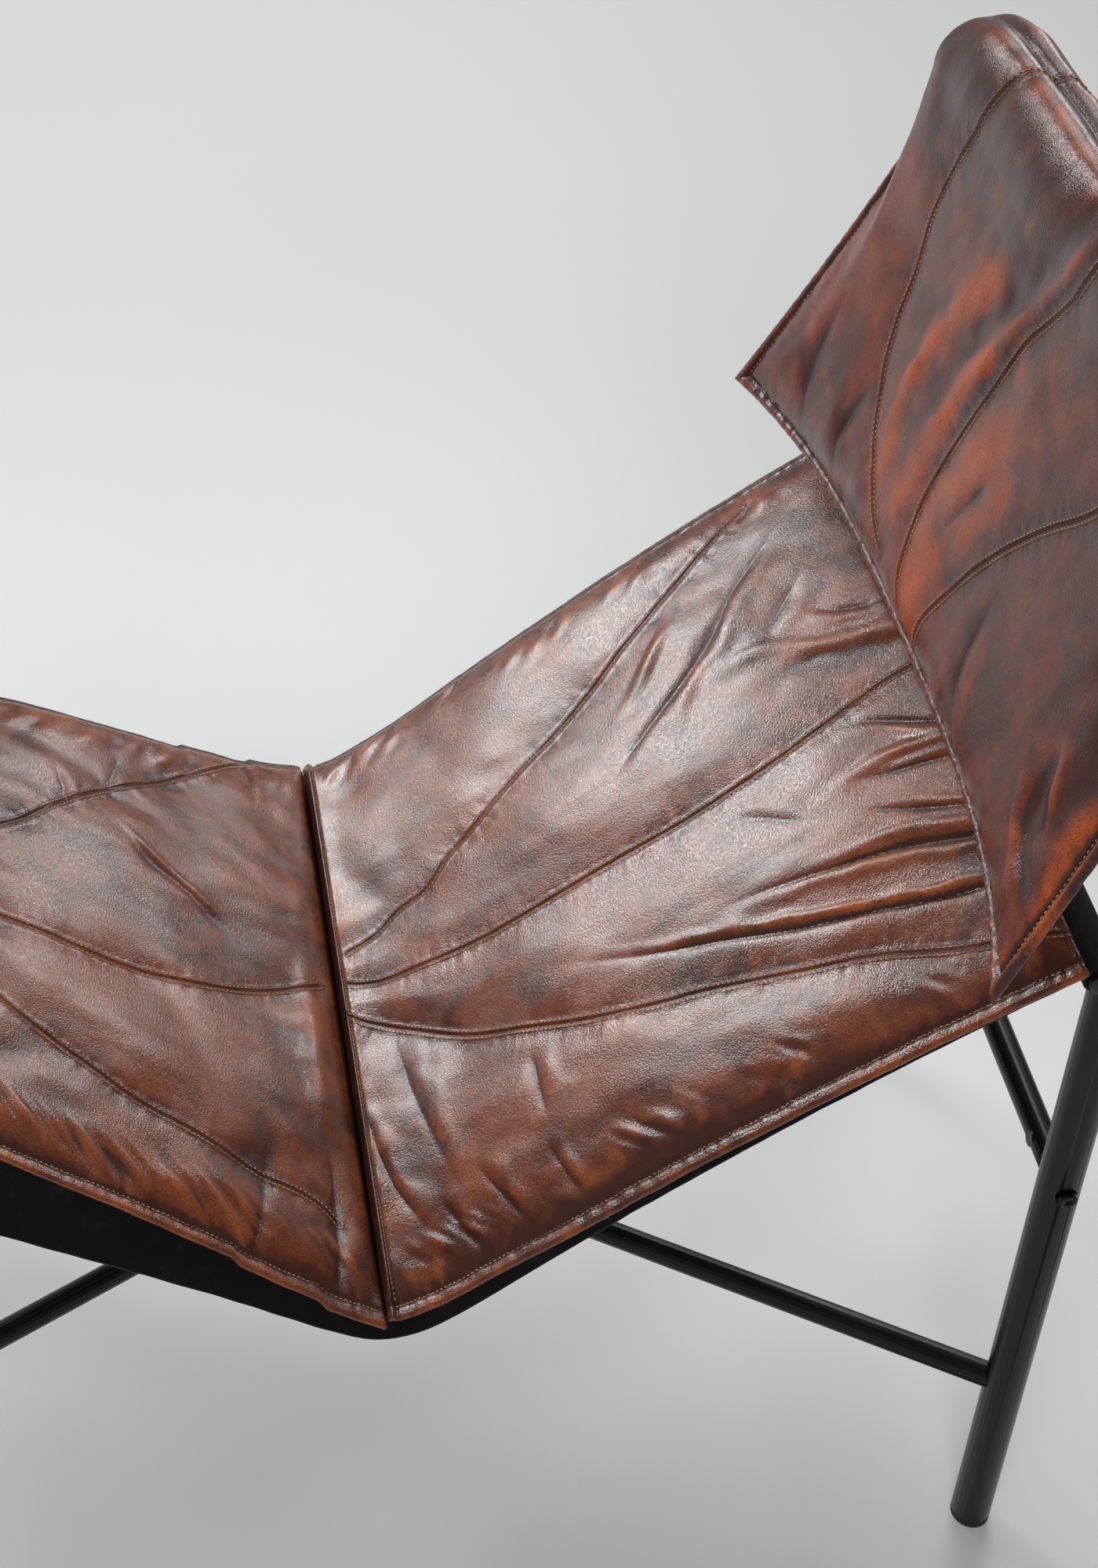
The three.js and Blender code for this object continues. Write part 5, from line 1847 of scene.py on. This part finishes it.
    def rim_lines(self) -> list[Array]:
        """The rim's stitching along the two sides; the lower edge is turned and has none."""
        return super().rim_lines()[:2]

    def build(self) -> Piece:
        """Builds the cushion's closed leather cover and its stitching, and returns the cover."""
        self.lay_grid(0.0, sum(self.lengths()))
        rise = self.rise()
        outer, inner = self.base(rise)
        relief = self.relief(rise)
        self.surface = outer + grid_normals(outer) * relief[:, :, None]
        held = np.maximum(smooth_step(0.5, 0.1, rise), bell(self.seam_offset, self.sewn_width))
        moved = self.settled(np.maximum(held, smooth_step(1.05, 1.2, self.u / self.lengths()[0])))
        relief += moved
        self.surface += grid_normals(self.surface) * moved[:, :, None]
        rings = rolled_rim(self.surface, self.rim_radius, 5)
        points, faces = closed_shell(self.surface, rings, inner)
        cover = mesh_object("head_cushion_cover", points, faces, self.finish.material())
        side = np.minimum(self.half(self.u) - np.abs(self.v), self.u)
        side = np.minimum(side, sum(self.lengths()) - self.u)
        # Painted shade near the seams, on the rolled rim, in the creases and over the under side; the
        # cushion is also darkened towards its top.
        shade = 0.15 * self.seam_mask + bell(side, 9 * MM) + 0.9 * smooth_step(190 * MM, 330 * MM, self.u)
        self.store(cover, {
            "wear": (np.clip(self.rubbed(relief), -1, 1.4), 0.15),
            "shade": (np.clip(shade + 2 * self.creased(relief), 0, 2.5), 1.0),
            **self.seam_values(side),
        }, 5)
        self.declare(cover)
        return cover


def head_cushion() -> HeadCushion:
    """The head cushion, with its seams, folds and rubbed streaks."""
    return HeadCushion(
        name="head_cushion",
        finish=Finish.HEAD_LEATHER,
        seed=9,
        body=CUSHION_BODY,
        fill=0.65,
        rim_radius=2.9 * MM,
        rim_stitch=7 * MM,
        seams=(
            Seam(((1327, 45), (1286, 105), (1251, 159), (1219, 217), (1187, 293), (1165, 360), (1142, 430),
                  (1130, 484), (1123, 544), (1120, 591), (1120, 633), (1125, 700))),
            Seam(((1400, 351), (1340, 415), (1314, 441), (1283, 486), (1244, 544), (1212, 591), (1187, 636),
                  (1168, 681), (1155, 725), (1147, 767)), before=((350 * MM, -70 * MM),)),
            Seam(((1400, 655), (1346, 674), (1299, 697), (1251, 728), (1219, 754), (1187, 783), (1155, 824)),
                 before=((290 * MM, -190 * MM),)),
        ),
        folds=(
            Fold(((1018, 563), (1028, 510), (1038, 470), (1091, 367)), -2.5, 9, 1.6, 16),
            Fold(((1063, 612), (1068, 580), (1075, 551), (1124, 482)), -3.4, 8, 2, 15),
            Fold(((1128, 600), (1149, 531), (1206, 429), (1267, 367)), 3, 11),
            Fold(((1132, 633), (1170, 585), (1222, 518), (1287, 441), (1353, 367), (1400, 322)), 3.8, 9,
                  -2.8, 17, open_end=True),
            Fold(((1290, 740), (1283, 765), (1247, 823), (1225, 886), (1223, 957)), -3.8, 9, 2, 17),
            Fold(((1330, 960), (1305, 1024), (1288, 1136), (1283, 1200)), 3, 7, -2.4, 13),
            Fold(((1375, 930), (1368, 948), (1346, 1020), (1330, 1090)), 3.4, 8, -3.2, -14),
            Fold(((1190, 700), (1240, 650), (1300, 590)), -2.5, 9, 1.6, 17),
        ),
        rubbings=(
            Rubbing(((1136, 592), (1149, 551), (1181, 482), (1222, 416), (1279, 359)), 15 * MM, 0.75),
            Rubbing(((1149, 640), (1181, 588), (1230, 510), (1275, 449)), 13 * MM, 0.75),
            Rubbing(((1160, 780), (1175, 700), (1225, 610), (1290, 560)), 22 * MM, 0.6),
            Rubbing(((1160, 790), (1180, 740), (1230, 690), (1290, 640)), 14 * MM, 0.5),
            Rubbing(((1290, 480), (1345, 455)), 14 * MM, 0.35),
            Rubbing(((1300, 1200), (1340, 1100), (1390, 1040)), 12 * MM, 0.6),
            Rubbing(((1330, 60), (1360, 95), (1400, 150)), 9 * MM, 1.0),
        ),
    )


# Canvas.

@dataclass
class CanvasSling:
    """The sling: one sheet with a sewn sleeve round each bar and a hem along each side."""

    half_width: float = 277 * MM
    cloth: float = 1.6 * MM
    hem: float = 24 * MM
    step: float = 6 * MM
    droop: float = 3.0 * MM
    foot_droop: float = 26 * MM
    foot_stretch: tuple[float, float] = (330 * MM, 150 * MM)
    foot_width: float = 0.94
    valley_wider: float = 0.022
    notch: float = 0.03
    valley_reach: float = 70 * MM
    notch_reach: float = 20 * MM
    droop_width: float = 18 * MM
    hem_dip: float = 0.5 * MM
    hem_width: float = 1.2 * MM
    ripple: float = 0.7 * MM
    ripple_size: float = 24 * MM
    ripple_reach: float = 16 * MM
    sleeve_turn: float = 1.85 * math.pi
    sleeve_steps: int = 60
    body: str = BODY

    def outline(self) -> Array:
        """Side view of the sheet's middle: round the foot bar, along the sling, round the other bar.

        Returns:
            The points of the line, one per row.
        """
        flat = slice(TRACK.flat_from, None)
        middle = np.stack([
            TRACK.x[flat] - TRACK.across[flat] * self.cloth / 2,
            TRACK.z[flat] - TRACK.upward[flat] * self.cloth / 2,
        ], axis=1)
        radius = TRACK.sleeve_radius - self.cloth / 2
        loops = []
        for node, end, turn in (("foot_bar", middle[0], -1), ("sling_bar", middle[-1], 1)):
            bar = np.array(TRACK.bar(node))
            first = math.atan2(*(end - bar)[::-1])
            sweep = first - turn * np.linspace(0, self.sleeve_turn, self.sleeve_steps)[1:]
            loops.append(bar + radius * np.stack([np.cos(sweep), np.sin(sweep)], axis=1))
        return np.vstack([loops[0][::-1], middle[1:-1:4], loops[1]])

    def build(self) -> Piece:
        """Builds the sheet, whose sides droop, ripple and draw in, with a stitched hem along each.

        Returns:
            The sheet.
        """
        line = self.outline()
        along = lengths_along(line)
        way = np.gradient(line, along, axis=0)
        normal = np.stack([-way[:, 1], way[:, 0]], axis=1)
        normal /= np.linalg.norm(normal, axis=1, keepdims=True)
        across = np.concatenate([
            np.linspace(-1, -0.9, 14), np.linspace(-0.9, 0.9, 60)[1:-1], np.linspace(0.9, 1, 14),
        ]) * self.half_width
        side = self.half_width - np.abs(across)
        free = smooth_step(0.02, 0.09, along) * smooth_step(along[-1] - 0.02, along[-1] - 0.09, along)
        free = free[:, None]
        lift = -self.droop * np.exp(-side / self.droop_width)[None, :] * free
        lift = lift - self.hem_dip * bell(side - self.hem, self.hem_width)[None, :] * free
        ripple = Ripple(41).at(*np.broadcast_arrays(along[:, None], side[None, :]), self.ripple_size, 4.0)
        lift = lift + self.ripple * ripple * np.exp(-side / self.ripple_reach)[None, :] * free
        lift = np.minimum(lift, 0)
        bar = TRACK.bar("foot_bar")[0]
        towards = smooth_step(self.foot_stretch[0], self.foot_stretch[1], line[:, 0] - bar)
        towards = (towards * smooth_step(0, 60 * MM, line[:, 0] - bar))[:, None]
        outer = smooth_step(0.62, 1.0, np.abs(across) / self.half_width)[None, :]
        from_valley = (line[:, 0] - TRACK.valley[0])[:, None]
        wider = self.valley_wider * bell(from_valley, self.valley_reach)
        wider = outer * (wider + self.notch * bell(from_valley, self.notch_reach) * (across > 0))
        lift = lift - self.foot_droop * towards * outer
        grid = np.stack([
            line[:, :1] + normal[:, :1] * lift,
            across * (1 - (1 - self.foot_width) * towards * outer + wider),
            line[:, 1:] + normal[:, 1:] * lift,
        ], axis=2)
        faces = grid_faces(*lift.shape)
        sheet = mesh_object("sling_canvas_sheet", grid, faces, Finish.BLACK_CANVAS.material())
        self.map_cloth(sheet, along, across)
        solid = sheet.modifiers.new("cloth", "SOLIDIFY")
        solid.thickness = self.cloth
        solid.offset = 0
        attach(sheet, self.body)
        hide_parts("sling_canvas")
        Finish.BLACK_CANVAS.slot()
        log.info("%s: %.3f m long", sheet.name, along[-1])
        return sheet

    @staticmethod
    def map_cloth(sheet: Piece, along: Array, across: Array) -> None:
        """Gives the sheet a UV map in metres along and across the cloth.

        Args:
            sheet: The sheet.
            along: Place of each row along the cloth.
            across: Place of each column across it.
        """
        flat = np.stack(np.meshgrid(along, across, indexing="ij"), axis=2).reshape(-1, 2)
        corner = np.zeros(len(sheet.data.loops), int)
        sheet.data.loops.foreach_get("vertex_index", corner)
        layer = sheet.data.uv_layers.new(name="cloth")
        layer.data.foreach_set("uv", flat[corner].astype(np.float32).ravel())


# Frame.

@dataclass
class TubeFrame:
    """The rigid pieces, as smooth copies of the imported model's own."""

    crease: float = math.radians(34)
    merge: float = 0.004 * MM
    body: str = BODY

    @staticmethod
    def finish_of(node: str) -> Finish:
        """The finish that a rigid piece has, by its name."""
        if any(word in node for word in ("screw", "nut", "insert")):
            return Finish.BLACK_ZINC
        if any(word in node for word in ("glide", "cap", "plug")):
            return Finish.BLACK_PLASTIC
        return Finish.POWDER_COAT

    def build(self) -> None:
        """Copies, merges and dresses every rigid piece."""
        soft = {"seat_pad", "back_pad", "head_cushion", "sling_canvas"}
        for node in sorted(set(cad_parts) - soft):
            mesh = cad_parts[node].data.copy()
            shape = bmesh.new()
            shape.from_mesh(mesh)
            bmesh.ops.remove_doubles(shape, verts=shape.verts, dist=self.merge)
            shape.to_mesh(mesh)
            shape.free()
            mesh.polygons.foreach_set("use_smooth", np.ones(len(mesh.polygons), bool))
            mesh.set_sharp_from_angle(angle=self.crease)
            mesh.materials.clear()
            finish = self.finish_of(node)
            mesh.materials.append(finish.material())
            piece = bpy.data.objects.new(f"{node}_finished", mesh)
            link(piece)
            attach(piece, self.body)
            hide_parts(node)
            finish.slot()
            log.info("%s: %s", piece.name, finish.name)


# Studio.

@dataclass(frozen=True)
class Lamp:
    """A rectangular soft lamp that faces a target."""

    name: str
    place: tuple[float, float, float]
    target: tuple[float, float, float]
    width: float
    height: float
    power: float
    spread: float = 180.0
    mirrored: bool = True

    def make(self) -> None:
        """Adds the lamp, which the camera doesn't see."""
        data = bpy.data.lights.new(self.name, "AREA")
        data.shape = "RECTANGLE"
        data.size, data.size_y = self.width, self.height
        data.energy = self.power
        data.spread = math.radians(self.spread)
        light = bpy.data.objects.new(self.name, data)
        back = np.array(self.place) - np.array(self.target)
        back /= np.linalg.norm(back)
        right = np.cross((0.0, 0.0, 1.0), back)
        right /= np.linalg.norm(right)
        turned = np.identity(4)
        turned[:3, 0], turned[:3, 1], turned[:3, 2] = right, np.cross(back, right), back
        turned[:3, 3] = self.place
        light.matrix_world = Matrix(turned.tolist())
        light.visible_camera = False
        light.visible_glossy = self.mirrored
        link(light)


@dataclass
class Studio:
    """A pale floor under soft light, between pale walls and under a darker ceiling."""

    floor_colour: tuple[float, float, float] = (0.74, 0.745, 0.75)
    world_colour: tuple[float, float, float] = (0.97, 0.98, 1.0)
    wall: float = 0.36
    ceiling: float = 0.14
    lamps: tuple[Lamp, ...] = (
        Lamp("overhead", (-0.1, 2.5, 3.7), (0.0, 0.9, 0.2), 3.0, 2.2, 124.0),
        Lamp("left_window", (-1.58, 2.3, 1.56), (0.15, 0.05, 0.42), 1.0, 0.75, 3.7, 50.0),
        Lamp("right_window", (1.5, 2.1, 1.72), (-0.2, 0.05, 0.38), 0.8, 0.65, 1.45, 50.0),
        Lamp("near_fill", (-1.2, -3.0, 2.6), (-0.5, -0.1, 0.0), 2.0, 1.6, 34.0, 120.0, mirrored=False),
    )

    def build(self) -> None:
        """Makes the floor, the world and the lamps."""
        self.make_floor()
        self.make_world()
        for lamp in self.lamps:
            lamp.make()
        bpy.context.scene.view_settings.view_transform = "Standard"

    def make_floor(self) -> None:
        """A wide plane just under the chair's glides."""
        reach = 12.0
        level = -0.3 * MM
        corners = [(x * reach, y * reach, level) for x, y in ((-1, -1), (1, -1), (1, 1), (-1, 1))]
        material, tree, shader, place = blank_material("studio_floor")
        tone = noise(tree, place, 1.6, 3.0)
        colour = blend_colour(tree, tone, opaque(self.floor_colour), grey(self.floor_colour[0] * 0.96))
        fill_sockets(shader, {"Base Color": colour, "Roughness": 0.7, "Specular IOR Level": 0.2})
        mesh_object("studio_floor", np.array(corners), [(0, 1, 2, 3)], material, smooth=False)

    def make_world(self) -> None:
        """A world as bright as pale walls up to eye level, and darker overhead."""
        world = bpy.data.worlds.new("studio_world")
        world.use_nodes = True
        tree = world.node_tree
        way = tree.nodes.new("ShaderNodeTexCoord").outputs["Generated"]
        axes = add_node(tree, "ShaderNodeSeparateXYZ", {0: way})
        strength = remap(tree, axes.outputs[2], 0.05, 0.3, self.wall, self.ceiling)
        fill_sockets(tree.nodes["Background"], {"Color": opaque(self.world_colour), "Strength": strength})
        bpy.context.scene.world = world


def main() -> None:
    """Builds the chair's looks in order."""
    logging.basicConfig(level=logging.INFO, format="%(name)s: %(message)s")
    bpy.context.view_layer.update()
    PHOTO.make()
    Studio().build()
    TubeFrame().build()
    CanvasSling().build()
    seat_pad().build()
    back_pad().build()
    head_cushion().build()


if __name__ == "__main__":
    main()
